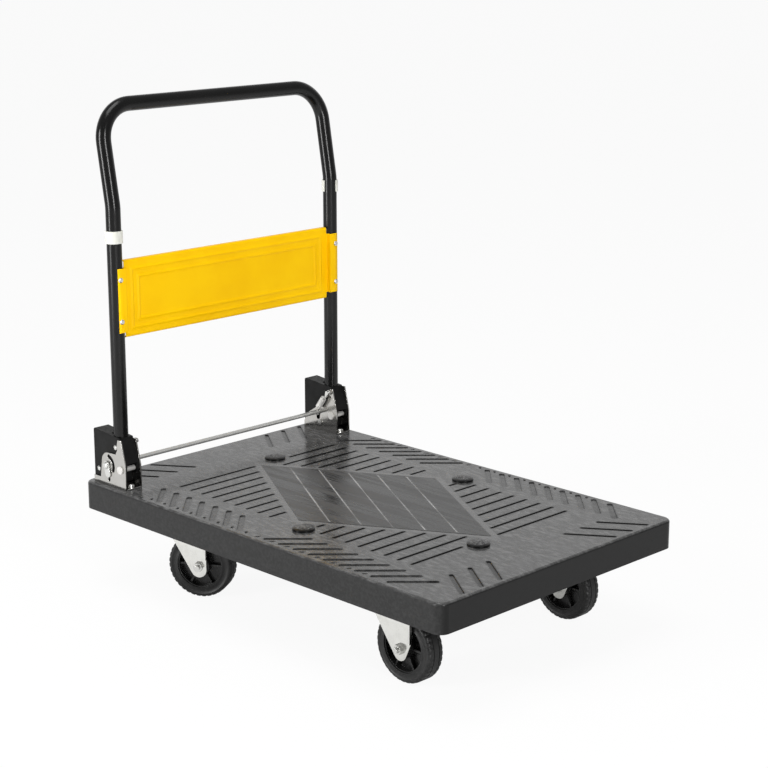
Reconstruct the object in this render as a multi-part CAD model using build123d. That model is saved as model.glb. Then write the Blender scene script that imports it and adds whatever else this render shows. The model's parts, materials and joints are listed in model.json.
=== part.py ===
from build123d import *
from math import asin, atan2, ceil, cos, degrees, hypot, pi, radians, sin, sqrt, tan
import os

os.makedirs("parts", exist_ok=True)

# Folding platform cart. Millimetres, +X towards the front end, away from the handle, +Z up. The
# origin is on the floor under the middle of the deck. In the names, left and right are as seen
# from the front end by someone who faces the handle, so left is the -Y side.

# Moulded deck
deck_length = 740.0
deck_width = 480.0
deck_top = 162.0
rim_depth = 42.0
rim_wall = 5.0
deck_plate = 6.0
deck_corner_radius = 15.0
deck_edge_radius = 4.0
rib_thickness = 3.0
rib_depth = 20.0
lengthwise_ribs = 4
lengthwise_rib_pitch = 104.0
crosswise_ribs = 6
crosswise_rib_pitch = 96.0

# Anti-slip pattern in the deck top
groove_depth = 1.4
diamond_half_length = 238.0
diamond_half_width = 140.0
diamond_rise = 0.4
strip_count = 6
strip_line_width = 1.8
strip_line_depth = 0.3
strip_line_margin = 4.0
field_groove_width = 4.5
field_grooves = 9
field_groove_pitch = 25.0
field_groove_start = 40.0
field_edge_gap = 21.0
field_margin = 11.0
edge_groove_width = 8.0
edge_grooves = 9
edge_groove_pitch = 29.75
edge_groove_start = 25.0
edge_groove_reach = 48.0
edge_groove_inset = 11.0
corner_groove_width = 6.0
corner_grooves = 3
corner_groove_pitch = 36.0
corner_groove_start = 78.0
corner_groove_length = 60.0
corner_groove_spread = 42.0
corner_groove_inset = 8.0

# Rubber caps pressed into the deck beside the diamond's points
cap_diameter = 32.0
cap_height = 5.5
cap_lip = 3.0
cap_stem_diameter = 12.0
cap_stem_length = 12.0
cap_fit = 0.05
cap_end_offset = 12.0
cap_end_y = 39.0
cap_side_offset = 23.0
cap_side_x = 35.0

# Handle tube
tube_diameter = 22.0
tube_wall = 1.5
tube_behind_hinge = 16.0
tube_inset = 25.0
handle_bend_height = 420.0
handle_bend_radius = 60.0
handle_top_height = 562.0
handle_lean = 10.0
handle_corner_radius = 53.0

# Hinge: folded sheet bracket, pin and moulded shoe
hinge_inset = 79.0
hinge_height = 30.0
bracket_sheet = 2.0
bracket_bend_radius = 2.0
bracket_rear = 66.0
bracket_front = 11.5
bracket_knee = 6.0
bracket_apex = 45.0
bracket_apex_width = 8.0
bracket_tail = 10.0
bracket_throat_x = 11.0
bracket_throat = 22.0
lobe_x = 30.0
lobe_rise = 5.0
lobe_radius = 16.0
rivet_pocket_radius = 8.5
shoe_width = 25.0
shoe_clearance = 0.3
shoe_rear = 66.5
shoe_rear_height = 53.0
shoe_front_height = 47.0
shoe_front = 4.0
shoe_nose = 10.0
shoe_nose_rise = 9.5
shoe_cheek = 3.0
shoe_lug_radius = 8.5
shoe_foot = 3.5
shoe_belly_front = 8.5
shoe_bolt_gap = 0.6
shoe_pocket_length = 6.0
shoe_pocket_width = 12.0
shoe_pocket_depth = 14.0
tube_seat_rise = 8.0
pin_diameter = 8.0
pin_fit = 0.06
pin_head_diameter = 12.0
pin_head_height = 2.5
shoe_rivet_diameter = 6.0
shoe_rivet_head = 9.0
shoe_rivet_head_height = 1.0
tube_rivet_rise = 31.0
rear_rivet_x = 58.0
rear_rivet_drop = 9.5

# Release bar, its slots and its return springs
bar_diameter = 7.0
bar_behind_hinge = 32.5
bar_rise = 1.0
bar_travel = 8.0
bar_clearance = 1.0
bar_plate_diameter = 13.5
bar_plate_thickness = 2.0
bar_plate_gap = 0.5
plate_tongue_width = 12.0
plate_tongue_length = 12.0
plate_tongue_lean = 3.0
bar_head_diameter = 10.0
bar_head_height = 2.5
crescent_radius = 15.0
crescent_width = 4.5
crescent_from = -22.0
crescent_to = 75.0
lower_hole_width = 5.0
lower_hole_height = 8.0
lower_hole_behind_hinge = 29.0
lower_hole_drop = 19.5
stop_rivet_behind_hinge = 26.5
stop_rivet_drop = 15.5
stop_rivet_head = 8.0
stop_rivet_height = 2.5
fold_angle = 90.0
sector_margin = 9.0
stud_behind_hinge = 5.0
stud_rise = 38.5
stud_neck_diameter = 4.6
stud_head_diameter = 7.0
stud_head_height = 3.0
spring_wire = 1.5
spring_mean_radius = 5.2
spring_turns = 14
spring_wall_gap = 1.2
hook_clearance = 0.3

# Bolts through the brackets and the deck
bracket_bolt_diameter = 8.0
bracket_bolt_head = 13.0
bracket_bolt_head_height = 5.0
bracket_bolt_inset_front = 9.0
bracket_bolt_inset_rear = 12.0
bracket_nut_height = 6.5

# Pressed panel between the handle tubes
panel_side_gap = 0.5
panel_height = 115.0
panel_bottom = 225.0
panel_sheet = 1.2
panel_lip = 8.0
panel_tube_gap = 0.1
tab_height = 95.0
tab_overhang = 4.0
frame_inset = 11.0
frame_step = 12.0
frame_width = 5.0
frame_rise = 1.2
panel_rivet_diameter = 4.0
panel_rivet_head = 8.0
panel_rivet_head_height = 2.0
panel_rivet_spacing = 62.0

# Clips round the tubes
collar_diameter = 26.0
collar_height = 18.0
collar_gap_angle = 100.0
collar_fit = 0.1
collar_left_height = 376.0
collar_right_height = 406.0
collar_left_turn = 180.0
collar_right_turn = -40.0

# Casters
caster_front_inset = 155.0
caster_rear_inset = 145.0
caster_side_inset = 77.0
caster_mount_z = 128.0
caster_plate_length = 104.0
caster_plate_width = 84.0
caster_plate_corner = 6.0
caster_plate_thickness = 3.0
caster_bolt_length = 80.0
caster_bolt_width = 60.0
caster_bolt_diameter = 8.0
caster_bolt_head = 13.0
caster_bolt_head_height = 5.0
caster_bolt_depth = 18.0
pad_margin = 3.0
pad_wall = 4.0
boss_diameter = 18.0
wheel_diameter = 100.0
tyre_width = 28.0
tyre_thickness = 14.0
tyre_shoulder = 5.0
wheel_rim_width = 25.0
wheel_rim_thickness = 3.0
wheel_web = 6.0
wheel_hub_radius = 15.0
wheel_ribs = 6
wheel_rib_width = 19.0
wheel_rib_thickness = 3.0
axle_diameter = 8.0
axle_fit = 0.08
bush_wall = 2.0
wheel_side_gap = 2.5
bush_end_gap = 0.3
fork_sheet = 2.5
fork_trail = 26.0
fork_end_radius = 12.0
fork_end_drop = 5.0
fork_front_low = 61.0
rigid_fork_rear = 47.0
rigid_fork_front = 46.0
swivel_fork_rear = 25.0
swivel_fork_front = 38.0
fork_flange = 5.0
axle_head = 13.0
axle_head_height = 5.5
axle_thread_end = 4.0
swivel_yaw = 30.0
race_height = 7.0
race_gap = 0.3
race_inner_radius = 12.0
race_outer_radius = 30.0
crown_sheet = 3.0
crown_wheel_gap = 7.0
kingpin_diameter = 12.0
kingpin_fit = 0.1
kingpin_head = 20.0
kingpin_head_height = 3.0

# Values worked out from the sizes above
rim_bottom = deck_top - rim_depth
plate_bottom = deck_top - deck_plate
hinge_x = hinge_inset - deck_length / 2
hinge_z = deck_top + hinge_height
tube_radius = tube_diameter / 2
tube_x = hinge_x - tube_behind_hinge
tube_y = deck_width / 2 - tube_inset
tube_spacing = 2 * tube_y
panel_width = tube_spacing - tube_diameter - 2 * panel_side_gap
caster_front_x = deck_length / 2 - caster_front_inset
caster_rear_x = caster_rear_inset - deck_length / 2
caster_y = deck_width / 2 - caster_side_inset
edge_groove_outer = deck_width / 2 - edge_groove_inset
field_outer_y = edge_groove_outer - edge_groove_reach - field_edge_gap
cap_end_x = diamond_half_length + cap_end_offset
cap_side_y = diamond_half_width + cap_side_offset
cap_places = (
    (-cap_end_x, cap_end_y),
    (cap_side_x, cap_side_y),
    (cap_side_x, -cap_side_y),
    (cap_end_x, -cap_end_y),
)
shoe_half = shoe_width / 2
wall_inside = shoe_half + shoe_clearance
wall_outside = wall_inside + bracket_sheet
bar_x = hinge_x - bar_behind_hinge
bar_z = hinge_z + bar_rise
axle_z = wheel_diameter / 2
tyre_inner_radius = wheel_diameter / 2 - tyre_thickness
rim_inner_radius = tyre_inner_radius - wheel_rim_thickness
leg_inside = tyre_width / 2 + wheel_side_gap
leg_outside = leg_inside + fork_sheet
plate_underside = caster_mount_z - caster_plate_thickness
crown_bottom = wheel_diameter + crown_wheel_gap
crown_top = crown_bottom + crown_sheet
SIDES = (("left", -1), ("right", 1))


def export(shape, name):
    """Write one named piece."""
    shape.label = name
    export_step(shape, f"parts/{name}.step")


def outline(*points):
    """Closed flat outline through the points."""
    return make_face(Polyline(*points, close=True))


def prism_y(sketch, y_from, y_to):
    """Solid with an X-Z outline between two Y stations."""
    start = Plane((0, y_to, 0), x_dir=(1, 0, 0), z_dir=(0, -1, 0))
    return extrude(start * sketch, amount=y_to - y_from)


def prism_z(sketch, z_from, z_to):
    """Solid with an X-Y outline between two heights."""
    return extrude(Pos(0, 0, z_from) * sketch, amount=z_to - z_from)


def rod_y(radius, x, z, y_from, y_to):
    """Round bar along Y."""
    return prism_y(Pos(x, z) * Circle(radius), y_from, y_to)


def rod_z(radius, x, y, z_from, z_to):
    """Round bar along Z."""
    return prism_z(Pos(x, y) * Circle(radius), z_from, z_to)


def hexagon_z(across_flats, x, y, z_from, z_to):
    """Hexagonal head or nut with its axis along Z."""
    return prism_z(Pos(x, y) * RegularPolygon(across_flats / 2, 6, major_radius=False), z_from, z_to)


def hinge_point(behind, above):
    """X-Z point given behind and above the hinge pin."""
    return (hinge_x - behind, hinge_z + above)


def tangent_point(point, center, radius, side):
    """Point where a line from a point touches a circle, on the left (+1) or right (-1) of it."""
    dx = center[0] - point[0]
    dz = center[1] - point[1]
    distance = hypot(dx, dz)
    along = sqrt(distance**2 - radius**2)
    angle = atan2(dz, dx) + side * asin(radius / distance)
    return (point[0] + along * cos(angle), point[1] + along * sin(angle))


# Deck


def slot_groove(start, end, width):
    """Round-ended groove outline between two deck points."""
    length = hypot(end[0] - start[0], end[1] - start[1])
    middle = ((start[0] + end[0]) / 2, (start[1] + end[1]) / 2)
    turn = degrees(atan2(end[1] - start[1], end[0] - start[0]))
    return Pos(*middle) * Rot(0, 0, turn) * SlotOverall(length, width)


def clear_of_caps(x, low, high):
    """Shorten a crosswise groove so that it stops short of a rubber cap."""
    keep_off = cap_diameter / 2 + field_groove_width
    for cap_x, cap_y in cap_places:
        if abs(x - cap_x) < keep_off and low < cap_y + keep_off and high > cap_y - keep_off:
            if cap_y - low > high - cap_y:
                high = cap_y - keep_off
            else:
                low = cap_y + keep_off
    return low, high


def field_groove_outlines():
    """Crosswise grooves in the four fields beside the diamond."""
    outlines = []
    for end in (-1, 1):
        for side in (-1, 1):
            for index in range(field_grooves):
                x = field_groove_start + index * field_groove_pitch
                inner = diamond_half_width * max(1 - x / diamond_half_length, 0) + field_margin
                low, high = sorted((side * inner, side * field_outer_y))
                low, high = clear_of_caps(end * x, low, high)
                if high - low > 2 * field_groove_width:
                    outlines.append(slot_groove((end * x, low), (end * x, high), field_groove_width))
    return outlines


def edge_groove_outlines():
    """Slanted grooves along the two long edges, kept clear of the hinge brackets."""
    outlines = []
    bracket_reach = hinge_x + bracket_front + edge_groove_width
    for end in (-1, 1):
        for side in (-1, 1):
            for index in range(edge_grooves):
                x = edge_groove_start + index * edge_groove_pitch
                far_x = x + edge_groove_reach
                if end < 0 and -far_x < bracket_reach:
                    continue
                start = (end * x, side * edge_groove_outer)
                finish = (end * far_x, side * (edge_groove_outer - edge_groove_reach))
                outlines.append(slot_groove(start, finish, edge_groove_width))
    return outlines


def corner_groove_outlines():
    """Slanted grooves near the corners, along the two short edges."""
    outlines = []
    far_x = deck_length / 2 - corner_groove_inset
    near_x = far_x - corner_groove_length
    for end in (-1, 1):
        for side in (-1, 1):
            for index in range(corner_grooves):
                y = corner_groove_start + index * corner_groove_pitch
                far_y = min(y + corner_groove_spread, tube_y - wall_outside - corner_groove_width)
                start = (end * near_x, side * y)
                finish = (end * far_x, side * far_y)
                outlines.append(slot_groove(start, finish, corner_groove_width))
    return outlines


def strip_line_outlines():
    """Thin lines that part the diamond into strips parallel to its right-front side."""
    outlines = []
    side_angle = degrees(atan2(-diamond_half_width, diamond_half_length))
    side_length = hypot(diamond_half_length, diamond_half_width)
    across = 2 * diamond_half_length * diamond_half_width / side_length
    line = Rectangle(side_length - 2 * strip_line_margin, strip_line_width)
    for index in range(1, strip_count):
        share = index / strip_count - 0.5
        middle = (share * diamond_half_length, share * diamond_half_width)
        if across > strip_count * strip_line_width:
            outlines.append(Pos(*middle) * Rot(0, 0, side_angle) * line)
    return outlines


def caster_pad(x, y):
    """Walls and screw bosses under the deck plate that a caster plate bears on."""
    outer = Rectangle(caster_plate_length + 2 * pad_margin, caster_plate_width + 2 * pad_margin)
    inner = offset(outer, -pad_wall)
    sketch = outer - inner
    for at in caster_bolt_places():
        sketch += at * Circle(boss_diameter / 2)
    return Pos(x, y) * prism_z(sketch, caster_mount_z, plate_bottom)


def caster_bolt_places():
    """Bolt places on a caster plate."""
    return GridLocations(caster_bolt_length, caster_bolt_width, 2, 2)


def caster_places():
    """Plate centres of the four casters."""
    return [(x, side * caster_y) for x in (caster_rear_x, caster_front_x) for _, side in SIDES]


def bracket_bolt_places():
    """Bolt places of the two hinge brackets."""
    front = hinge_x + bracket_front - bracket_bolt_inset_front
    rear = hinge_x - bracket_rear + bracket_bolt_inset_rear
    return [(x, side * tube_y) for _, side in SIDES for x in (rear, front)]


def make_deck():
    """Moulded deck: rounded rim, ribbed underside, patterned top."""
    block = RectangleRounded(deck_length, deck_width, deck_corner_radius)
    body = prism_z(block, rim_bottom, deck_top)
    body = fillet(body.faces().sort_by(Axis.Z)[-1].edges(), deck_edge_radius)
    inner_radius = max(deck_corner_radius - rim_wall, 1)
    hollow = RectangleRounded(deck_length - 2 * rim_wall, deck_width - 2 * rim_wall, inner_radius)
    body -= prism_z(hollow, rim_bottom, plate_bottom)
    long_rib = Box(deck_length - rim_wall, rib_thickness, rib_depth)
    cross_rib = Box(rib_thickness, deck_width - rim_wall, rib_depth)
    rib_z = plate_bottom - rib_depth / 2
    lengthwise = GridLocations(0, lengthwise_rib_pitch, 1, lengthwise_ribs)
    crosswise = GridLocations(crosswise_rib_pitch, 0, crosswise_ribs, 1)
    additions = [Pos(0, 0, rib_z) * at * long_rib for at in lengthwise]
    additions += [Pos(0, 0, rib_z) * at * cross_rib for at in crosswise]
    additions += [caster_pad(x, y) for x, y in caster_places()]
    diamond = outline(
        (-diamond_half_length, 0), (0, diamond_half_width), (diamond_half_length, 0), (0, -diamond_half_width)
    )
    additions.append(prism_z(diamond, deck_top - diamond_rise, deck_top + diamond_rise))
    body = body.fuse(*additions)
    grooves = field_groove_outlines() + edge_groove_outlines() + corner_groove_outlines()
    cuts = [prism_z(groove, deck_top - groove_depth, deck_top + groove_depth) for groove in grooves]
    line_floor = deck_top + diamond_rise - strip_line_depth
    cuts += [prism_z(line, line_floor, deck_top + 2 * diamond_rise) for line in strip_line_outlines()]
    stem_hole = cap_stem_diameter / 2 + cap_fit
    cuts += [rod_z(stem_hole, x, y, rim_bottom, deck_top + 1) for x, y in cap_places]
    bolt_hole = bracket_bolt_diameter / 2
    cuts += [rod_z(bolt_hole, x, y, rim_bottom, deck_top + 1) for x, y in bracket_bolt_places()]
    for pad_x, pad_y in caster_places():
        for bolt in caster_bolt_places():
            x = pad_x + bolt.position.X
            y = pad_y + bolt.position.Y
            depth = caster_mount_z + caster_bolt_depth
            cuts.append(rod_z(caster_bolt_diameter / 2, x, y, caster_mount_z - 1, depth))
    return body.cut(*cuts)


def make_deck_caps():
    """Four low domed rubber caps with stems through the deck plate."""
    radius = cap_diameter / 2
    dome_rise = cap_height - cap_lip
    dome_radius = (radius**2 + dome_rise**2) / (2 * dome_rise)
    dome = rod_z(radius, 0, 0, 0, cap_height) & Pos(0, 0, cap_height - dome_radius) * Sphere(dome_radius)
    cap = dome + rod_z(cap_stem_diameter / 2, 0, 0, -cap_stem_length, 0)
    return Compound(children=[Pos(x, y, deck_top) * cap for x, y in cap_places])


# Hinge


def rivet_place():
    """X-Z point of the rivet through shoe and tube."""
    return (tube_x, hinge_z + tube_rivet_rise)


def bracket_outline():
    """Side outline of a hinge bracket's walls."""
    front = hinge_x + bracket_front
    apex = hinge_z + bracket_apex
    wall = outline(
        (hinge_x - bracket_rear, deck_top),
        (front, deck_top),
        (front, hinge_z + bracket_knee),
        (hinge_x + bracket_apex_width / 4, apex),
        (hinge_x - bracket_apex_width * 3 / 4, apex),
        hinge_point(bracket_throat_x, bracket_throat),
        hinge_point(lobe_x, lobe_rise + lobe_radius),
        hinge_point(lobe_x + lobe_radius, lobe_rise),
        hinge_point(rear_rivet_x - rivet_pocket_radius, -hinge_height + bracket_tail),
        (hinge_x - bracket_rear, deck_top + bracket_tail),
    )
    wall += Pos(*hinge_point(lobe_x, lobe_rise)) * Circle(lobe_radius)
    wall -= Pos(*rivet_place()) * Circle(rivet_pocket_radius)
    wall -= Pos(*hinge_point(rear_rivet_x, -rear_rivet_drop)) * Circle(rivet_pocket_radius)
    wall -= bar_slot_outline()
    wall -= crescent_outline()
    lower_hole = SlotOverall(lower_hole_height, lower_hole_width, 90)
    wall -= Pos(*hinge_point(lower_hole_behind_hinge, -lower_hole_drop)) * lower_hole
    return wall - Pos(hinge_x, hinge_z) * Circle(pin_diameter / 2)


def bar_slot_outline():
    """Upright slot that the release bar is pressed down in."""
    width = bar_diameter + 2 * bar_clearance
    return Pos(bar_x, bar_z - bar_travel / 2) * SlotOverall(width + bar_travel, width, 90)


def crescent_outline():
    """Round-ended crescent cut in the wall, ahead of the release bar."""
    return Pos(bar_x, bar_z) * SlotArc(crescent_arc(), crescent_width)


def crescent_arc():
    """Middle line of the crescent, about the bar's place at rest."""
    return CenterArc((0, 0), crescent_radius, crescent_from, crescent_to - crescent_from)


def make_bracket(side):
    """Sheet bracket folded to a U, with two cut-out walls."""
    section = Rectangle(2 * wall_outside, 4 * bracket_apex)
    section = fillet(section.vertices(), bracket_bend_radius)
    section -= Pos(0, bracket_sheet) * Rectangle(2 * wall_inside, 4 * bracket_apex)
    start = Plane((hinge_x - bracket_rear, 0, deck_top + 2 * bracket_apex), x_dir=(0, 1, 0), z_dir=(1, 0, 0))
    channel = extrude(start * section, amount=bracket_rear + bracket_front)
    body = channel & prism_y(bracket_outline(), -wall_outside, wall_outside)
    for x, y in bracket_bolt_places()[:2]:
        body -= rod_z(bracket_bolt_diameter / 2, x, 0, deck_top - 1, deck_top + bracket_sheet + 1)
    return Pos(0, side * tube_y) * body


def make_hinge_pin(side):
    """Headed pin through the bracket walls and the shoe's cheeks."""
    end = wall_outside + pin_head_height
    pin = rod_y(pin_diameter / 2, hinge_x, hinge_z, -wall_outside, wall_outside)
    for head in (-1, 1):
        low, high = sorted((head * wall_outside, head * end))
        pin += rod_y(pin_head_diameter / 2, hinge_x, hinge_z, low, high)
    return Pos(0, side * tube_y) * pin


def bar_sweep_outline():
    """Ring sector that the bar passes through, seen from the turning shoe."""
    pressed = bar_rise - bar_travel
    near = bar_behind_hinge - bar_diameter / 2 - bar_clearance
    far = hypot(bar_behind_hinge, pressed) + bar_diameter / 2 + bar_clearance
    start = degrees(pi - atan2(bar_rise, bar_behind_hinge)) - sector_margin
    end = degrees(pi + atan2(-pressed, bar_behind_hinge)) + fold_angle + sector_margin
    reach = 2 * far
    steps = ceil((end - start) / 45)
    angles = [radians(start + (end - start) * index / steps) for index in range(steps + 1)]
    fan = outline((0, 0), *[(reach * cos(angle), reach * sin(angle)) for angle in angles])
    return Pos(hinge_x, hinge_z) * ((Circle(far) - Circle(near)) & fan)


def make_shoe(side):
    """Moulded shoe that holds the tube's end and turns on the hinge pin."""
    foot = bracket_sheet + shoe_clearance - hinge_height
    belly = bracket_sheet + bracket_bolt_head_height + shoe_bolt_gap - hinge_height
    profile = outline(
        hinge_point(shoe_rear, foot),
        hinge_point(shoe_rear, shoe_rear_height),
        hinge_point(shoe_front, shoe_front_height),
        hinge_point(-shoe_nose, shoe_nose_rise),
        hinge_point(-shoe_lug_radius, 0),
        hinge_point(shoe_belly_front, -shoe_lug_radius),
        hinge_point(shoe_belly_front, belly),
        hinge_point(shoe_rear - shoe_foot, belly),
        hinge_point(shoe_rear - shoe_foot, foot),
    )
    profile += Pos(hinge_x, hinge_z) * Circle(shoe_lug_radius)
    profile -= bar_sweep_outline()
    profile -= Pos(hinge_x, hinge_z) * Circle(pin_diameter / 2 + pin_fit)
    body = prism_y(profile, -shoe_half, shoe_half)
    rear_top = body.edges().filter_by(Axis.Y).sort_by(Axis.Z)[-1]
    body = fillet(rear_top, shoe_foot)
    cheek_gap = shoe_width - 2 * shoe_cheek
    mouth_length = shoe_lug_radius + shoe_nose + 2
    mouth_height = shoe_lug_radius + shoe_nose_rise + 1
    mouth_x = hinge_x + shoe_nose + 2 - mouth_length / 2
    mouth_z = hinge_z + shoe_nose_rise - mouth_height / 2
    body -= Pos(mouth_x, 0, mouth_z) * Box(mouth_length, cheek_gap, mouth_height)
    top = hinge_z + shoe_rear_height
    body -= rod_z(tube_radius, tube_x, 0, hinge_z + tube_seat_rise, top + 1)
    pocket_x = tube_x - tube_radius - shoe_pocket_length / 2 + 1
    body -= Pos(pocket_x, 0, top) * Box(shoe_pocket_length, shoe_pocket_width, 2 * shoe_pocket_depth)
    for rivet in shoe_rivet_solids():
        body -= rivet
    return Pos(0, side * tube_y) * body


def shoe_rivet_solids():
    """Two flush rivets through the shoe, about the tube's Y."""
    rivets = []
    for x, z in (rivet_place(), hinge_point(rear_rivet_x, -rear_rivet_drop)):
        rivet = rod_y(shoe_rivet_diameter / 2, x, z, -shoe_half, shoe_half)
        for head in (-1, 1):
            low, high = sorted((head * (shoe_half - shoe_rivet_head_height), head * shoe_half))
            rivet += rod_y(shoe_rivet_head / 2, x, z, low, high)
        rivets.append(rivet)
    return rivets


def make_shoe_rivets():
    """Rivets of both shoes."""
    rivets = shoe_rivet_solids()
    return Compound(children=[Pos(0, side * tube_y) * rivet for _, side in SIDES for rivet in rivets])


# Handle


def rounded_path(points, radii):
    """Line through the points with a round bend at each inner point."""
    points = [Vector(*point) for point in points]
    edges = []
    last = points[0]
    for before, corner, after, radius in zip(points, points[1:], points[2:], radii):
        arriving = (corner - before).normalized()
        leaving = (after - corner).normalized()
        setback = radius * tan(radians(arriving.get_angle(leaving)) / 2)
        bend_start = corner - arriving * setback
        bend_end = corner + leaving * setback
        edges.append(Line(last, bend_start))
        edges.append(TangentArc(bend_start, bend_end, tangent=arriving))
        last = bend_end
    edges.append(Line(last, points[-1]))
    return Wire([edge.edge() for edge in edges])


def lean_x(height):
    """X of the handle's middle line at a height."""
    bend = deck_top + handle_bend_height
    return tube_x - max(height - bend, 0) * tan(radians(handle_lean))


def handle_rod(radius):
    """Solid round rod along the handle's middle line."""
    foot = hinge_z + tube_seat_rise
    bend = deck_top + handle_bend_height
    top = deck_top + handle_top_height
    path = rounded_path(
        [(tube_x, -tube_y, foot), (tube_x, -tube_y, bend), (lean_x(top), -tube_y, top),
         (lean_x(top), tube_y, top), (tube_x, tube_y, bend), (tube_x, tube_y, foot)],
        [handle_bend_radius, handle_corner_radius, handle_corner_radius, handle_bend_radius],
    )
    start = Plane((tube_x, -tube_y, foot), z_dir=(0, 0, 1))
    return sweep(start * Circle(radius), path)


def make_handle_tube():
    """Push handle: one tube bent to a U whose upper part leans back."""
    tube = handle_rod(tube_radius) - handle_rod(tube_radius - tube_wall)
    rivet_x, rivet_z = rivet_place()
    for _, side in SIDES:
        y = side * tube_y
        tube -= rod_y(shoe_rivet_diameter / 2, rivet_x, rivet_z, y - tube_diameter, y + tube_diameter)
    for rivet in panel_rivet_shanks():
        tube -= rivet
    return tube


def panel_back():
    """X of the panel's rear face, in front of the tubes."""
    return tube_x + tube_radius + panel_tube_gap


def panel_rivet_places():
    """Y-Z points of the rivets through the panel's tabs."""
    middle = deck_top + panel_bottom + panel_height / 2
    heights = (middle - panel_rivet_spacing / 2, middle + panel_rivet_spacing / 2)
    return [(side * tube_y, height) for _, side in SIDES for height in heights]


def rod_x(radius, y, z, x_from, x_to):
    """Round bar along X."""
    start = Plane((x_from, y, z), x_dir=(0, 1, 0), z_dir=(1, 0, 0))
    return extrude(start * Circle(radius), amount=x_to - x_from)


def panel_rivet_shanks():
    """Rivet shanks from the tube's bore to the panel's face."""
    inside = tube_x + tube_radius - tube_wall - 2
    face = panel_back() + panel_sheet
    return [rod_x(panel_rivet_diameter / 2, y, z, inside, face) for y, z in panel_rivet_places()]


def make_panel_rivets():
    """Domed blind rivets that hold the panel to the tubes."""
    face = panel_back() + panel_sheet
    solids = []
    for shank, (y, z) in zip(panel_rivet_shanks(), panel_rivet_places()):
        head = rod_x(panel_rivet_head / 2, y, z, face, face + panel_rivet_head_height)
        head = fillet(head.edges().sort_by(Axis.X)[-1], panel_rivet_head_height * 0.8)
        solids.append(shank + head)
    return Compound(children=solids)


def make_panel():
    """Pressed sheet panel: lips folded back, two raised frames, riveted side tabs."""
    back = panel_back()
    middle = deck_top + panel_bottom + panel_height / 2
    start = Plane((back, 0, middle), x_dir=(0, 1, 0), z_dir=(1, 0, 0))
    tab_span = tube_spacing + 2 * tab_overhang
    sheet = Rectangle(panel_width, panel_height) + Rectangle(tab_span, tab_height)
    body = extrude(start * sheet, amount=panel_sheet)
    for end in (-1, 1):
        lip_z = middle + end * (panel_height - panel_sheet) / 2
        lip_x = back - panel_lip / 2
        body += Pos(lip_x, 0, lip_z) * Box(panel_lip, panel_width, panel_sheet)
    face = start.offset(panel_sheet)
    for ring in range(2):
        inset = frame_inset + ring * frame_step
        length = panel_width - 2 * inset
        height = panel_height - 2 * inset
        frame = Rectangle(length, height) - Rectangle(length - 2 * frame_width, height - 2 * frame_width)
        ridge = extrude(face * frame, amount=frame_rise)
        crest = ridge.faces().sort_by(Axis.X)[-1].edges()
        body += chamfer(crest, frame_rise * 0.7)
    for rivet in panel_rivet_shanks():
        body -= rivet
    return body


def make_collar(side, height, turn):
    """Snap-on clip round a tube, its mouth turned by an angle from the front."""
    middle = deck_top + height
    low = middle - collar_height / 2
    high = middle + collar_height / 2
    at = Pos(lean_x(middle), side * tube_y)
    band = at * prism_z(Rectangle(2 * collar_diameter, 2 * collar_diameter), low, high)
    clip = (handle_rod(collar_diameter / 2) & band) - handle_rod(tube_radius + collar_fit)
    reach = 2 * collar_diameter
    half = radians(collar_gap_angle / 2)
    mouth = outline((0, 0), (reach * cos(half), -reach * sin(half)), (reach * cos(half), reach * sin(half)))
    return clip - at * prism_z(Rot(0, 0, turn) * mouth, low, high)


# Release bar


def bar_end():
    """Y of the bar's ends, where its heads begin."""
    return tube_y + wall_outside + bar_plate_gap + bar_plate_thickness


def make_release_bar():
    """Steel rod across the cart, through the slots of both brackets."""
    return rod_y(bar_diameter / 2, bar_x, bar_z, -bar_end(), bar_end())


def bar_plate_outline():
    """Outline of a bar's end plate: round about the bar, with a tongue that covers the slot."""
    length = hypot(plate_tongue_lean, plate_tongue_length)
    turn = degrees(atan2(-plate_tongue_length, plate_tongue_lean))
    middle = (bar_x + plate_tongue_lean / 2, bar_z - plate_tongue_length / 2)
    tongue = Pos(*middle) * Rot(0, 0, turn) * SlotCenterToCenter(length, plate_tongue_width)
    at_bar = Pos(bar_x, bar_z)
    return at_bar * Circle(bar_plate_diameter / 2) + tongue - at_bar * Circle(bar_diameter / 2)


def make_bar_caps():
    """End plates on the bar outside the brackets, each with the bar's round head."""
    inner = wall_outside + bar_plate_gap
    solids = []
    for _, side in SIDES:
        seat = side * bar_end()
        head_end = side * (bar_end() + bar_head_height)
        plate = prism_y(bar_plate_outline(), *sorted((side * (tube_y + inner), seat)))
        head = rod_y(bar_head_diameter / 2, bar_x, bar_z, *sorted((seat, head_end)))
        outer_edge = head.edges().sort_by(Axis.Y)[-1 if side > 0 else 0]
        solids.append(plate + fillet(outer_edge, bar_head_height * 0.6))
    return Compound(children=solids)


def stud_place():
    """X-Z point of the spring studs."""
    return hinge_point(stud_behind_hinge, stud_rise)


def hook_distance():
    """How far a spring's hooks lie from the bracket's inner wall."""
    return spring_wall_gap + spring_wire / 2


def make_spring_studs():
    """Headed studs on the inner walls for the springs' upper hooks, and a rivet under each bar end."""
    x, z = stud_place()
    neck = hook_distance() + spring_wire
    solids = []
    for _, side in SIDES:
        wall = side * (tube_y - wall_outside)
        stud = rod_y(stud_neck_diameter / 2, x, z, *sorted((wall, wall - side * neck)))
        head_end = wall - side * (neck + stud_head_height)
        stud += rod_y(stud_head_diameter / 2, x, z, *sorted((wall - side * neck, head_end)))
        solids.append(stud)
        rivet_x, rivet_z = hinge_point(stop_rivet_behind_hinge, -stop_rivet_drop)
        rivet_end = wall - side * stop_rivet_height
        solids.append(rod_y(stop_rivet_head / 2, rivet_x, rivet_z, *sorted((wall, rivet_end))))
    return Compound(children=solids)


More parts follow.
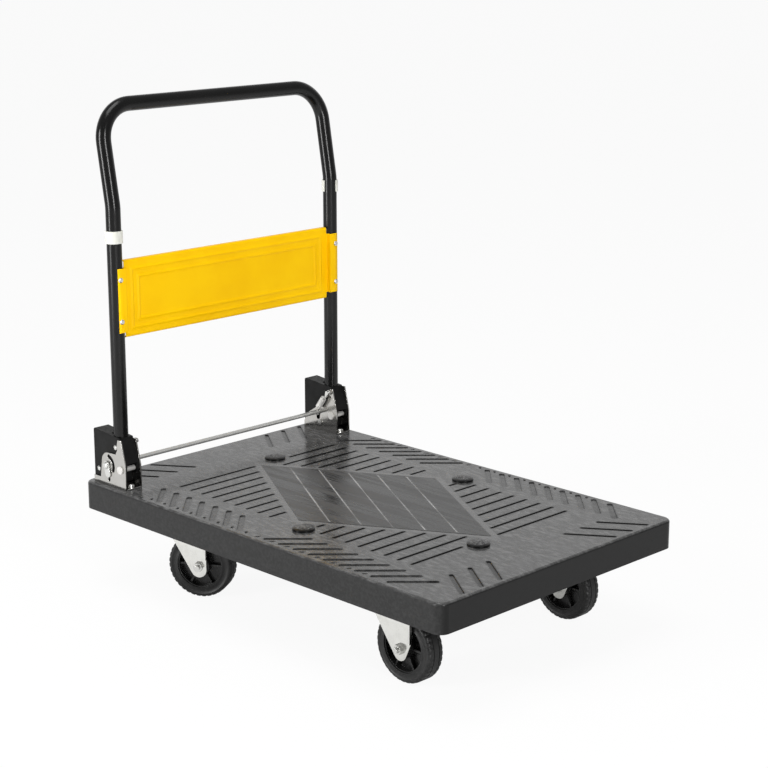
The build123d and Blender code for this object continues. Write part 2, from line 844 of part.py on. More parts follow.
def biarc(start, start_direction, end, end_direction):
    """Two arcs that join two points with given directions."""
    chord = end - start
    total = start_direction + end_direction
    a = total.dot(total) - 4
    b = -2 * chord.dot(total)
    reach = (-b - sqrt(b * b - 4 * a * chord.dot(chord))) / (2 * a)
    first = start + start_direction * reach
    second = end - end_direction * reach
    joint = (first + second) * 0.5
    direction = (second - first).normalized()
    return [TangentArc(start, joint, tangent=start_direction), TangentArc(joint, end, tangent=direction)]


def hook_arcs(center, radius, across, along, from_angle, to_angle):
    """Part of a circle in the plane of two directions, in arcs of under half a turn."""
    def at(angle):
        return center + across * (radius * cos(radians(angle))) + along * (radius * sin(radians(angle)))

    pieces = ceil(abs(to_angle - from_angle) / 120)
    step = (to_angle - from_angle) / pieces
    arcs = []
    for index in range(pieces):
        begin = from_angle + index * step
        arcs.append(ThreePointArc(at(begin), at(begin + step / 2), at(begin + step)))
    return arcs


def make_spring(side):
    """Tension spring from the stud to the release bar, with side hooks round both."""
    stud_x, stud_z = stud_place()
    upper_hook = stud_neck_diameter / 2 + hook_clearance + spring_wire / 2
    lower_hook = bar_diameter / 2 + hook_clearance + spring_wire / 2
    hooks = upper_hook + lower_hook
    distance = hypot(stud_x - bar_x, stud_z - bar_z)
    coil_length = distance - hooks
    pitch = coil_length / spring_turns
    rise = atan2(pitch, 2 * pi * spring_mean_radius)
    inward = Vector(0, -side, 0)
    lean = atan2(bar_x - stud_x, bar_z - stud_z) - atan2(-hooks * sin(rise), coil_length + hooks * cos(rise))
    along = Vector(sin(lean), 0, cos(lean))
    across = Vector(cos(lean), 0, -sin(lean))
    hook_y = side * (tube_y - wall_outside - hook_distance())
    stud = Vector(stud_x, hook_y, stud_z)
    coil_start = stud - across * (upper_hook * sin(rise)) + along * (upper_hook * cos(rise))
    center = coil_start + inward * spring_mean_radius

    def helix(turns):
        angle = 2 * pi * turns
        round_part = across * (spring_mean_radius * sin(angle)) - inward * (spring_mean_radius * cos(angle))
        return center + round_part + along * (pitch * turns)

    def direction(turns):
        angle = 2 * pi * turns
        flat = across * cos(angle) + inward * sin(angle)
        return (flat * cos(rise) + along * sin(rise)).normalized()

    slope = degrees(rise)
    first_angle = 90 + slope + 270
    path = hook_arcs(stud, upper_hook, across, along, first_angle, 90 + slope)
    for half in range(2 * spring_turns):
        path += biarc(helix(half / 2), direction(half / 2), helix(half / 2 + 0.5), direction(half / 2 + 0.5))
    coil_end = helix(spring_turns)
    bar = coil_end - across * (lower_hook * sin(rise)) + along * (lower_hook * cos(rise))
    path += hook_arcs(bar, lower_hook, across, along, slope - 90, slope - 90 + 270)
    tip_direction = path[0] % 0
    path.insert(0, Line(path[0] @ 0 - tip_direction * spring_wire, path[0] @ 0))
    end_direction = path[-1] % 1
    path.append(Line(path[-1] @ 1, path[-1] @ 1 + end_direction * spring_wire))
    print_spring_gap(path, side)
    wire = Wire([edge.edge() for edge in path])
    start = Plane(path[0] @ 0, z_dir=tip_direction)
    return sweep(start * Circle(spring_wire / 2), wire)


def print_spring_gap(path, side):
    """Measure the least gap between a spring's turns on points along its wire."""
    points = []
    travelled = 0.0
    for edge in path:
        for index in range(6):
            points.append((travelled + edge.length * index / 6, edge @ (index / 6)))
        travelled += edge.length
    apart = 3 * spring_wire
    least = min(
        (first - second).length
        for number, (start, first) in enumerate(points)
        for finish, second in points[number + 1:]
        if finish - start > apart
    )
    print(f"spring {side:+d}: least gap to itself {least - spring_wire:.2f} mm")


# Bolts of the brackets


def make_bracket_bolts():
    """Button-head bolts through the bracket bases and the deck plate."""
    seat = deck_top + bracket_sheet
    end = plate_bottom - bracket_nut_height - 2
    solids = []
    for x, y in bracket_bolt_places():
        head = rod_z(bracket_bolt_head / 2, x, y, seat, seat + bracket_bolt_head_height)
        head = fillet(head.edges().sort_by(Axis.Z)[-1], bracket_bolt_head_height * 0.6)
        solids.append(head + rod_z(bracket_bolt_diameter / 2, x, y, end, seat))
    return Compound(children=solids)


def make_bracket_nuts():
    """Nuts under the deck plate."""
    solids = []
    for x, y in bracket_bolt_places():
        nut = hexagon_z(bracket_bolt_head, x, y, plate_bottom - bracket_nut_height, plate_bottom)
        solids.append(nut - rod_z(bracket_bolt_diameter / 2, x, y, rim_bottom, plate_bottom))
    return Compound(children=solids)


# Casters, built about the plate centre with the wheel trailing towards +X


def leg_outline(top, rear, front):
    """Side outline of a fork leg from a height down past the axle."""
    end = (fork_trail, axle_z - fork_end_drop)
    rear_top = (-rear, top)
    front_low = (front, fork_front_low)
    rear_touch = tangent_point(rear_top, end, fork_end_radius, -1)
    front_touch = tangent_point(front_low, end, fork_end_radius, 1)
    leg = outline(rear_top, (front, top), front_low, front_touch, end, rear_touch)
    leg += Pos(*end) * Circle(fork_end_radius)
    return leg - Pos(fork_trail, axle_z) * Circle(axle_diameter / 2)


def fork_legs(top, rear, front):
    """Two fork legs, each with its front edge turned outwards."""
    body = None
    for side in (-1, 1):
        low, high = sorted((side * leg_inside, side * leg_outside))
        leg = prism_y(leg_outline(top, rear, front), low, high)
        flange_y = side * (leg_outside + (fork_flange - fork_sheet) / 2)
        flange_x = front - fork_sheet / 2
        flange_z = (top + fork_front_low) / 2
        flange = Box(fork_sheet, fork_flange - fork_sheet, top - fork_front_low)
        leg += Pos(flange_x, flange_y, flange_z) * flange
        body = leg if body is None else body + leg
    return body


def caster_plate():
    """Flat top plate with four bolt holes."""
    sketch = RectangleRounded(caster_plate_length, caster_plate_width, caster_plate_corner)
    for at in caster_bolt_places():
        sketch -= at * Circle(caster_bolt_diameter / 2)
    return prism_z(sketch, plate_underside, caster_mount_z)


def make_rigid_fork():
    """Rigid caster: plate and legs in one pressing."""
    return caster_plate() + fork_legs(plate_underside, rigid_fork_rear, rigid_fork_front)


def make_swivel_plate():
    """Swivel caster's top plate with the upper half of its ball race."""
    race = Circle(race_outer_radius) - Circle(race_inner_radius)
    body = caster_plate() + prism_z(race, plate_underside - race_height, plate_underside)
    return body - rod_z(kingpin_diameter / 2, 0, 0, plate_underside - 1, caster_mount_z + 1)


def make_swivel_fork():
    """Swivel caster's fork: crown, lower half of the race and two trailing legs."""
    race_top = plate_underside - race_height - race_gap
    crown = prism_z(Circle(race_outer_radius + crown_sheet), crown_bottom, crown_top)
    bridge_length = swivel_fork_front + swivel_fork_rear
    bridge_x = (swivel_fork_front - swivel_fork_rear) / 2
    bridge = Box(bridge_length, 2 * leg_outside, crown_sheet)
    bridge = Pos(bridge_x, 0, (crown_bottom + crown_top) / 2) * bridge
    cup = prism_z(Circle(race_outer_radius), crown_top, race_top)
    body = crown + bridge + cup + fork_legs(crown_top, swivel_fork_rear, swivel_fork_front)
    return body - rod_z(kingpin_diameter / 2 + kingpin_fit, 0, 0, crown_bottom - 1, race_top + 1)


def make_kingpin():
    """Headed pin that carries the swivel fork under the plate."""
    low = crown_bottom - race_gap
    pin = rod_z(kingpin_diameter / 2, 0, 0, low, caster_mount_z)
    pin += rod_z(kingpin_head / 2, 0, 0, low - kingpin_head_height, low)
    return pin + rod_z(kingpin_head / 2, 0, 0, caster_mount_z, caster_mount_z + kingpin_head_height)


def make_axle():
    """Axle bolt with its head on the +Y leg and its thread end past the nut."""
    end = leg_outside + axle_head_height
    axle = rod_y(axle_diameter / 2, fork_trail, axle_z, -end - axle_thread_end, leg_outside)
    head = RegularPolygon(axle_head / 2, 6, major_radius=False)
    return axle + prism_y(Pos(fork_trail, axle_z) * head, leg_outside, end)


def make_axle_nut():
    """Nut on the -Y leg."""
    nut = RegularPolygon(axle_head / 2, 6, major_radius=False) - Circle(axle_diameter / 2)
    return prism_y(Pos(fork_trail, axle_z) * nut, -leg_outside - axle_head_height, -leg_outside)


def make_tyre():
    """Rubber tyre with rounded shoulders."""
    profile = Pos(tyre_inner_radius + tyre_thickness / 2, 0) * Rectangle(tyre_thickness, tyre_width)
    profile = fillet(profile.vertices().sort_by(Axis.X)[-2:], tyre_shoulder)
    return Pos(fork_trail, 0, axle_z) * revolve(profile, Axis.Y)


def make_wheel_core():
    """Moulded wheel centre: hub, web, rim and radial ribs."""
    bore = axle_diameter / 2 + axle_fit + bush_wall
    hub_half = leg_inside - 2 * bush_end_gap
    rim_half = wheel_rim_width / 2
    web_half = wheel_web / 2
    profile = outline(
        (bore, -hub_half), (wheel_hub_radius, -hub_half), (wheel_hub_radius, -web_half),
        (rim_inner_radius, -web_half), (rim_inner_radius, -rim_half), (tyre_inner_radius, -rim_half),
        (tyre_inner_radius, rim_half), (rim_inner_radius, rim_half), (rim_inner_radius, web_half),
        (wheel_hub_radius, web_half), (wheel_hub_radius, hub_half), (bore, hub_half),
    )
    core = revolve(profile, Axis.Y)
    rib_length = rim_inner_radius - wheel_hub_radius + 2
    rib = Box(rib_length, wheel_rib_width, wheel_rib_thickness)
    rib = Pos((rim_inner_radius + wheel_hub_radius) / 2, 0, 0) * rib
    core = core.fuse(*[Rot(0, 360 * index / wheel_ribs, 0) * rib for index in range(wheel_ribs)])
    return Pos(fork_trail, 0, axle_z) * core


def make_bush():
    """Steel sleeve between the fork legs that the wheel turns with."""
    half = leg_inside - bush_end_gap
    sleeve = Circle(axle_diameter / 2 + axle_fit + bush_wall) - Circle(axle_diameter / 2 + axle_fit)
    return prism_y(Pos(fork_trail, axle_z) * sleeve, -half, half)


def make_caster_bolts():
    """Hex bolts up into the deck's bosses."""
    solids = []
    for pad_x, pad_y in caster_places():
        for bolt in caster_bolt_places():
            x = pad_x + bolt.position.X
            y = pad_y + bolt.position.Y
            head_low = plate_underside - caster_bolt_head_height
            head = hexagon_z(caster_bolt_head, x, y, head_low, plate_underside)
            shank = rod_z(caster_bolt_diameter / 2, x, y, plate_underside, caster_mount_z + caster_bolt_depth)
            solids.append(head + shank)
    return Compound(children=solids)


def export_casters():
    """Rigid casters at the front, swivel casters at the handle end."""
    for name, side in SIDES:
        front = Pos(caster_front_x, side * caster_y)
        rear = Pos(caster_rear_x, side * caster_y)
        turned = rear * Rot(0, 0, swivel_yaw)
        export(front * make_rigid_fork(), f"rigid_fork_{name}")
        export(rear * make_swivel_plate(), f"swivel_plate_{name}")
        export(rear * make_kingpin(), f"kingpin_{name}")
        export(turned * make_swivel_fork(), f"swivel_fork_{name}")
        for place, at in (("front", front), ("rear", turned)):
            export(at * make_axle(), f"axle_{place}_{name}")
            export(at * make_axle_nut(), f"axle_nut_{place}_{name}")
            export(at * make_tyre(), f"tyre_{place}_{name}")
            export(at * make_wheel_core(), f"wheel_core_{place}_{name}")
            export(at * make_bush(), f"wheel_bush_{place}_{name}")


def main():
    """Build and write every piece."""
    export(make_deck(), "deck_platform")
    export(make_deck_caps(), "deck_caps")
    for name, side in SIDES:
        export(make_bracket(side), f"hinge_bracket_{name}")
        export(make_hinge_pin(side), f"hinge_pin_{name}")
        export(make_shoe(side), f"handle_shoe_{name}")
        export(make_spring(side), f"return_spring_{name}")
    export(make_bracket_bolts(), "bracket_bolts")
    export(make_bracket_nuts(), "bracket_nuts")
    export(make_spring_studs(), "spring_studs")
    export(make_handle_tube(), "handle_tube")
    export(make_shoe_rivets(), "shoe_rivets")
    export(make_panel(), "handle_panel")
    export(make_panel_rivets(), "panel_rivets")
    export(make_collar(-1, collar_left_height, collar_left_turn), "tube_clip_left")
    export(make_collar(1, collar_right_height, collar_right_turn), "tube_clip_right")
    export(make_release_bar(), "release_bar")
    export(make_bar_caps(), "release_bar_caps")
    export(make_caster_bolts(), "caster_bolts")
    export_casters()


main()
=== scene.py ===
import json
from math import cos, hypot, pi, radians, sin

import bpy
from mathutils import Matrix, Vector


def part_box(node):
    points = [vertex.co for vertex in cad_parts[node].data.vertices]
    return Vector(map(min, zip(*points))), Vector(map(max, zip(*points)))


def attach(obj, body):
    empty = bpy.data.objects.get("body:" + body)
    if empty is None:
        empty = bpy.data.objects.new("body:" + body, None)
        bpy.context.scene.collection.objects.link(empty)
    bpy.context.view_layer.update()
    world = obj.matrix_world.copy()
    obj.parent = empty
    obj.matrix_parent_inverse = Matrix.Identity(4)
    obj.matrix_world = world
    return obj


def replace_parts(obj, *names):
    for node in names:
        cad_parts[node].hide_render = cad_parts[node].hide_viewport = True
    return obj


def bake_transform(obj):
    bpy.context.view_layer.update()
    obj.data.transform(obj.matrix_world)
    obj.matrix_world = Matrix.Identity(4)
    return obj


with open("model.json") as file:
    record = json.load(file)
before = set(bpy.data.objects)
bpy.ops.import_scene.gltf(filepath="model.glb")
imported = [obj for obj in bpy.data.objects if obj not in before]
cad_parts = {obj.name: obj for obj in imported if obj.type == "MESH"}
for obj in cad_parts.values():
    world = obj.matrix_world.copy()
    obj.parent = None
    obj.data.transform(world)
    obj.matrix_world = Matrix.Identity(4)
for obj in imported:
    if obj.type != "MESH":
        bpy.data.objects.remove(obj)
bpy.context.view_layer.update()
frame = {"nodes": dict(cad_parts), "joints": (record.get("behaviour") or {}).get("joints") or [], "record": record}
nodes = frame["nodes"]
joints = {joint["name"]: joint for joint in frame["joints"]}
SIDES = ("left", "right")
ENDS = ("front", "rear")

# Camera of the photograph, fitted to the deck's corners
CAMERA_PLACE = (1.8682, -1.8414, 1.0079)
CAMERA_AZIMUTH = 44.95
CAMERA_TILT = 14.39
CAMERA_LENS = 88.23
SENSOR_WIDTH = 36.0

# Light of the surround, where 1 is white; the wall fades to its sides and to its top
ROOM_LIGHT = 0.36
CEILING_LIGHT = 0.378
WALL_LIGHT = 1.00
WALL_SIDE_FADE = (0.2, 0.8)
WALL_TOP_FADE = (0.35, 0.65)

# Floor, in metres, and how far it glows white to the camera and in reflections
FLOOR_REACH = 30.0
FLOOR_GREYS = (0.90, 0.92)
FLOOR_ROUGHNESS = 0.9
FLOOR_GLOW_CAMERA = 0.92
FLOOR_GLOW_SHINE = 0.15

# Lamps: place, width and height in metres, and power in watts
LAMP_AIM = (0, 0, 0.3)
LAMPS = {
    "left_strip": ((-0.8, -3.0, 1.0), 0.7, 2.0, 75.0),
    "front_strip": ((2.9, -0.9, 1.2), 0.45, 1.8, 55.0),
    "top_box": ((0.0, -0.4, 3.2), 1.6, 1.6, 32.0),
}

# Deck, in metres, with its pattern where the solids have it
DECK_TOP_FADE = (0.1590, 0.1615)
# Where the front face's painted shade begins
DECK_FRONT_SHADE_FADE = (0.364, 0.369)
CAP_CROWN_FADE = (0.1656, 0.1665)
DIAMOND_HALF_LENGTH = 0.238
DIAMOND_HALF_WIDTH = 0.140
STRIPS = 6
GROOVE_FLOOR = 0.1606
GROOVE_FIELD_X = 0.363
GROOVE_FIELD_Y = 0.2335
EDGE_ROW_Y = 0.178
EDGE_ROW_X = 0.300
FIELD_FADE = 0.001
ROW_FADE = 0.002

# Marks painted on the deck, in metres apart from shares and counts: painted highlights on the strip lines, and
# painted shade in the grooves, beside their lips and in the pits
STRIP_LINE_WIDTH = 0.0029
# Heights below which the groove floors take their painted shade
GROOVE_SHADE_LEVELS = (0.1612, 0.1608)
LIP_REACH = 0.0050
LIP_FADE = (0.95, 0.80)
LIP_SAMPLES = 12
EDGE_ROW_LIP_LOSS = 0.45
EDGE_PIT_START = 0.012
EDGE_PIT_PITCH = 0.030
EDGE_PIT_LAST = 0.240
EDGE_PIT_Y = 0.2275
EDGE_PIT_FADE = (0.00286, 0.00088)
EDGE_PIT_STRETCH = 2.0
EDGE_PIT_DEPTH = 0.0025

# The same marks along the diamond's own measure, which is 1 at its edge
DIAMOND_EDGE_FADE = (1.0, 0.992)
DIAMOND_BORDER_FADE = (1.084, 1.068)
STRIP_END_FADE = (0.985, 0.97)

# Greys and roughnesses of the deck
# The top's greys are dust and wear with a painted sheen: the top is painted far paler than the sides
WORN_AND_SHEEN_GREYS = (0.044, 0.068)
GRAIN_GREY = 0.140
BORDER_GREY = 0.115
DIAMOND_GREYS = (0.008, 0.062)
RIM_GREYS = (0.012, 0.022)
# The front face's grey is painted shade
RIM_FRONT_SHADE_GREY = 0.002
# Pale strip lines are painted highlights
STRIP_LINE_HIGHLIGHT_GREY = 0.46
# Painted shade of the grooves, beside their lips and in the pits
GROOVE_SHADE_GREY = 0.013
WORN_ROUGHNESS = (0.15, 0.31)
DIAMOND_ROUGHNESS = (0.20, 0.44)
RIM_ROUGHNESS = 0.36
PIT_ROUGHNESS = 0.80

# Stains and painted reflection bands of the zinc plate
ZINC_REFLECTION_BAND = (0.42, 0.42, 0.40)
ZINC_CLOUD = (0.40, 0.39, 0.35)
ZINC_ABOVE_FADE = (0.150, 0.158)

# Springs and rivets, in metres and degrees; the coils are slimmer than the solids' ones
SPRING_TURNS = 13
SPRING_WIRE = 0.0015
SPRING_COIL_RADIUS = 0.0043
SPRING_COIL_SHARE = 0.56
SPRING_SIDES = 10
STEPS_PER_TURN = 24
HOOK_ARC = 270
STUD_BEHIND_HINGE = 0.005
STUD_RISE = 0.0385
STUD_NECK = 0.0046
HOOK_CLEARANCE = 0.0003
SHOE_HALF_WIDTH = 0.0125
TUBE_Y = 0.215
RIVET_PLACES = ((-0.016, 0.031), (-0.058, -0.0095))
RIVET_HEAD_RADIUS = 0.0045
RIVET_CROWN_RADIUS = 0.00441
RIVET_TIP_RADIUS = 0.00001
RIVET_SIDE = 0.0010
RIVET_DOME = 0.0009
RIVET_STEPS = 6
RIVET_SIDES = 32

# Tyres, in metres and degrees; they reach further in than the solids' ones
TYRE_RADIUS = 0.050
TYRE_INNER_RADIUS = 0.0350
TYRE_HALF_WIDTH = 0.014
TYRE_SHOULDER = 0.005
TYRE_SHOULDER_STEPS = 8
TYRE_SHARP_ANGLE = 40
SIDEWALL_SINK = 0.0005
SIDEWALL_FLANK = 0.0006
SIDEWALL_BEAD = 0.0012
SIDEWALL_BORDER = 0.0008
TREAD_GROOVE_DEPTH = 0.0008
TREAD_GROOVE_STATIONS = (0.0058, 0.0055, 0.0045, 0.0042)
NOTCHES = 36
NOTCH_STEPS = 6
NOTCH_OPEN_STEPS = 2
NOTCH_DEPTH = 0.0009
NOTCH_INNER_RADIUS = 0.0475
NOTCH_INNER_END = 0.0070

# Panel, in metres: its flat part lies between the tubes, its tabs on their front
PANEL_SHEET = 0.0012
PANEL_STEP = 0.0080
PANEL_LIP = 0.0080
PANEL_EDGE_RADIUS = 0.0030
PANEL_EDGE_STEPS = 6
PANEL_FACE_ROWS = 88
PANEL_MIDDLE_COLUMNS = 45
PANEL_FRAME_COLUMNS = 27
PANEL_HALF_WIDTH = 0.2023
PANEL_WALL_Y = 0.2035
PANEL_BEND = 0.0012
PANEL_BEND_STEPS = 4
TAB_HALF_HEIGHT = 0.0475
TAB_SLACK = 0.0001
FRAME_INSETS = (0.0135, 0.0255)
FRAME_WIDTH = 0.0052
FRAME_FLANK = 0.0016
FRAME_RISE = 0.0015
FRAME_ZONE = 0.034
PANEL_CAD_FRAME_RISE = 0.0012

# Hinge brackets, in metres and degrees: cuts by place behind and above the hinge, then by size
BRACKET_SHEET = 0.0020
BRACKET_HALF_WIDTH = 0.0148
BRACKET_EDGE = 0.00025
BRACKET_REAR = 0.0660
BRACKET_FRONT = 0.0115
BRACKET_FOOT = -0.0300
BRACKET_WELD = 0.000002
BRACKET_NORMAL_WEIGHT = 100
LOBE = (0.0300, 0.0050, 0.0160)
LOBE_ANGLES = (90, 180)
TUBE_POCKET = (0.0160, 0.0310, 0.0085)
TUBE_POCKET_ANGLES = (24.6, -49.1)
STUD_EAR = 0.0044
STUD_EAR_ANGLES = (95, 250)
BAR_SLOT = (0.0325, -0.0030, 0.0090, 0.0170)
LOWER_HOLE = (0.0290, -0.0195, 0.0050, 0.0080)
CRESCENT = (0.0325, 0.0010, 0.0150, 0.0060)
CRESCENT_ANGLES = (-22, 75)
CRESCENT_STEPS = 16

# Corners of the brackets' walls, in metres ahead of the hinge and above it
POST_FOOT_RISE = 0.006
POST_TOP_FRONT = (0.002, 0.045)
POST_TOP_REAR = (-0.006, 0.045)
POCKET_TO_LOBE = (-0.011, 0.022)
LOBE_FOOT = (-0.0495, -0.020)
REAR_RISE = -0.020
INNER_SLOPE = ((-0.009, 0.027), (-0.0185, 0.0125), (-0.037, 0.0085), (-0.056, -0.004))

# Softened edges of the CAD nodes: widths in metres by slot, angles in degrees
EDGE_WIDTHS = {
    "deck_plastic": 0.0005,
    "shoe_plastic": 0.0008,
    "wheel_plastic": 0.0006,
    "zinc_sheet": 0.0003,
    "zinc_steel": 0.0002,
}
EDGE_WELD = 0.000005
EDGE_FLAT_ANGLE = 0.5
EDGE_ANGLE = 35
EDGE_SEGMENTS = 2


# Node graphs


class Graph:
    """Node tree of a material or a world, with short calls that add nodes and return an output."""

    def __init__(self, owner, shader="Principled BSDF", place="Object"):
        self.owner = owner
        self.owner.use_nodes = True
        self.tree = self.owner.node_tree
        self.shader = self.tree.nodes[shader]
        self.place = self.tree.nodes.new("ShaderNodeTexCoord").outputs[place]

    def feed(self, socket, value):
        """Join an output to a socket, or set a plain value on it."""
        if isinstance(value, bpy.types.NodeSocket):
            self.tree.links.new(value, socket)
        else:
            socket.default_value = value

    def finish(self, **values):
        """Set or join the shader's inputs by name and return the material or world."""
        for name, value in values.items():
            self.feed(self.shader.inputs[name.replace("_", " ")], value)
        return self.owner

    def math(self, operation, first, second=0.0):
        """One sum on one or two values."""
        node = self.tree.nodes.new("ShaderNodeMath")
        node.operation = operation
        for socket, value in zip(node.inputs, (first, second)):
            self.feed(socket, value)
        return node.outputs[0]

    def product(self, *values):
        """Product of two or more values."""
        result = values[0]
        for value in values[1:]:
            result = self.math("MULTIPLY", result, value)
        return result

    def rest(self, value):
        """What a share leaves of 1."""
        return self.math("SUBTRACT", 1.0, value)

    def between(self, share, first, second):
        """First value where the share is 0, second where it is 1."""
        return self.math("ADD", self.product(share, self.math("SUBTRACT", second, first)), first)

    def parts(self):
        """X, Y and Z of the place."""
        node = self.tree.nodes.new("ShaderNodeSeparateXYZ")
        self.feed(node.inputs[0], self.place)
        return node.outputs[0], node.outputs[1], node.outputs[2]

    def mapped(self, scale=(1, 1, 1), turn=(0, 0, 0)):
        """The object's coordinates, turned and stretched."""
        node = self.tree.nodes.new("ShaderNodeMapping")
        self.feed(node.inputs["Vector"], self.place)
        node.inputs["Scale"].default_value = scale
        node.inputs["Rotation"].default_value = turn
        return node.outputs[0]

    def noise(self, scale, detail=2.0, roughness=0.5, vector=None):
        """Cloudy pattern at the place or at another vector."""
        node = self.tree.nodes.new("ShaderNodeTexNoise")
        self.feed(node.inputs["Vector"], vector or self.place)
        node.inputs["Scale"].default_value = scale
        node.inputs["Detail"].default_value = detail
        node.inputs["Roughness"].default_value = roughness
        return node.outputs["Fac"]

    def spread(self, value, low, high, to_low=0.0, to_high=1.0):
        """Map a value's range to another, held at its ends."""
        node = self.tree.nodes.new("ShaderNodeMapRange")
        node.interpolation_type = "SMOOTHSTEP"
        for name, amount in zip(("Value", "From Min", "From Max", "To Min", "To Max"),
                                (value, low, high, to_low, to_high)):
            self.feed(node.inputs[name], amount)
        return node.outputs[0]

    def mix(self, share, first, second):
        """Mix two colours."""
        node = self.tree.nodes.new("ShaderNodeMix")
        node.data_type = "RGBA"
        self.feed(node.inputs[0], share)
        for socket, colour in ((node.inputs[6], first), (node.inputs[7], second)):
            self.feed(socket, (*colour, 1.0) if isinstance(colour, tuple) else colour)
        return node.outputs[2]

    def lips(self, distance):
        """Low beside a solid's outward edges, where a ray inside it soon comes out."""
        node = self.tree.nodes.new("ShaderNodeAmbientOcclusion")
        node.inside = True
        node.only_local = True
        node.samples = LIP_SAMPLES
        node.inputs["Distance"].default_value = distance
        return node.outputs["AO"]

    def bump(self, height, distance, strength=1.0, over=None):
        """Normal of a height map whose full step is a distance in metres."""
        node = self.tree.nodes.new("ShaderNodeBump")
        self.feed(node.inputs["Height"], height)
        node.inputs["Distance"].default_value = distance
        node.inputs["Strength"].default_value = strength
        if over is not None:
            self.feed(node.inputs["Normal"], over)
        return node.outputs[0]


# Materials


def material_graph(name):
    """Graph of a new material."""
    return Graph(bpy.data.materials.new(name))


def grey(value):
    """Neutral colour."""
    return (value, value, value)


def edge_pits(g, x, y):
    """Share of the small pits between the outer ends of the edge rows' slots; the pits are only painted shade,
    roughness and a bump.
    """
    along = g.math("ABSOLUTE", x)
    pit = g.math("DIVIDE", g.math("SUBTRACT", along, EDGE_PIT_START), EDGE_PIT_PITCH)
    ahead = g.product(g.math("SUBTRACT", pit, g.math("ROUND", pit)), EDGE_PIT_PITCH)
    outward = g.math("SUBTRACT", g.math("ABSOLUTE", y), EDGE_PIT_Y)
    lengthwise = g.math("DIVIDE", g.math("SUBTRACT", ahead, outward), EDGE_PIT_STRETCH)
    crosswise = g.math("ADD", ahead, outward)
    squares = g.math("ADD", g.product(lengthwise, lengthwise), g.product(crosswise, crosswise))
    from_pit = g.math("DIVIDE", g.math("SQRT", squares), hypot(1.0, 1.0))
    in_row = g.spread(along, EDGE_PIT_LAST, EDGE_PIT_LAST - ROW_FADE)
    return g.product(g.spread(from_pit, *EDGE_PIT_FADE), in_row)


def groove_painted_shade(g, x, y, z, pits):
    """Share of the painted shade in the deck's grooves, beside their lips and in the pits at its long edges."""
    along = g.math("ABSOLUTE", x)
    across = g.math("ABSOLUTE", y)
    field = g.product(g.spread(along, GROOVE_FIELD_X, GROOVE_FIELD_X - FIELD_FADE),
                      g.spread(across, GROOVE_FIELD_Y, GROOVE_FIELD_Y - FIELD_FADE),
                      g.spread(z, GROOVE_FLOOR - FIELD_FADE, GROOVE_FLOOR - FIELD_FADE / 2))
    edge_row = g.product(g.spread(across, EDGE_ROW_Y - ROW_FADE, EDGE_ROW_Y),
                         g.spread(along, EDGE_ROW_X, EDGE_ROW_X - ROW_FADE))
    # Painted shade on the groove floors, below the deck's top
    deep = g.product(g.spread(z, *GROOVE_SHADE_LEVELS), g.rest(edge_row))
    # Painted shade beside the grooves' lips, where rays inside the deck soon come out
    lips = g.product(g.spread(g.lips(LIP_REACH), *LIP_FADE), g.rest(g.product(edge_row, EDGE_ROW_LIP_LOSS)))
    dark = g.math("MAXIMUM", g.math("MAXIMUM", deep, lips), pits)
    return g.product(dark, field)


def strip_highlight_lines(g, along, across, reach):
    """Share of the pale lines between the diamond's strips, painted highlights along their edges, fainter in
    places.
    """
    strip = g.product(g.math("ADD", along, across), STRIPS / 2)
    off_line = g.math("ABSOLUTE", g.math("SUBTRACT", strip, g.math("ROUND", strip)))
    slope = hypot(1 / DIAMOND_HALF_LENGTH, 1 / DIAMOND_HALF_WIDTH) * STRIPS / 2
    half_line = STRIP_LINE_WIDTH / 2 * slope
    on_line = g.spread(off_line, half_line * 1.15, half_line * 0.75)
    faint = g.spread(g.noise(11.0, 2.0), 0.35, 0.62, 0.25, 1.0)
    return g.product(on_line, g.spread(reach, *STRIP_END_FADE), faint)


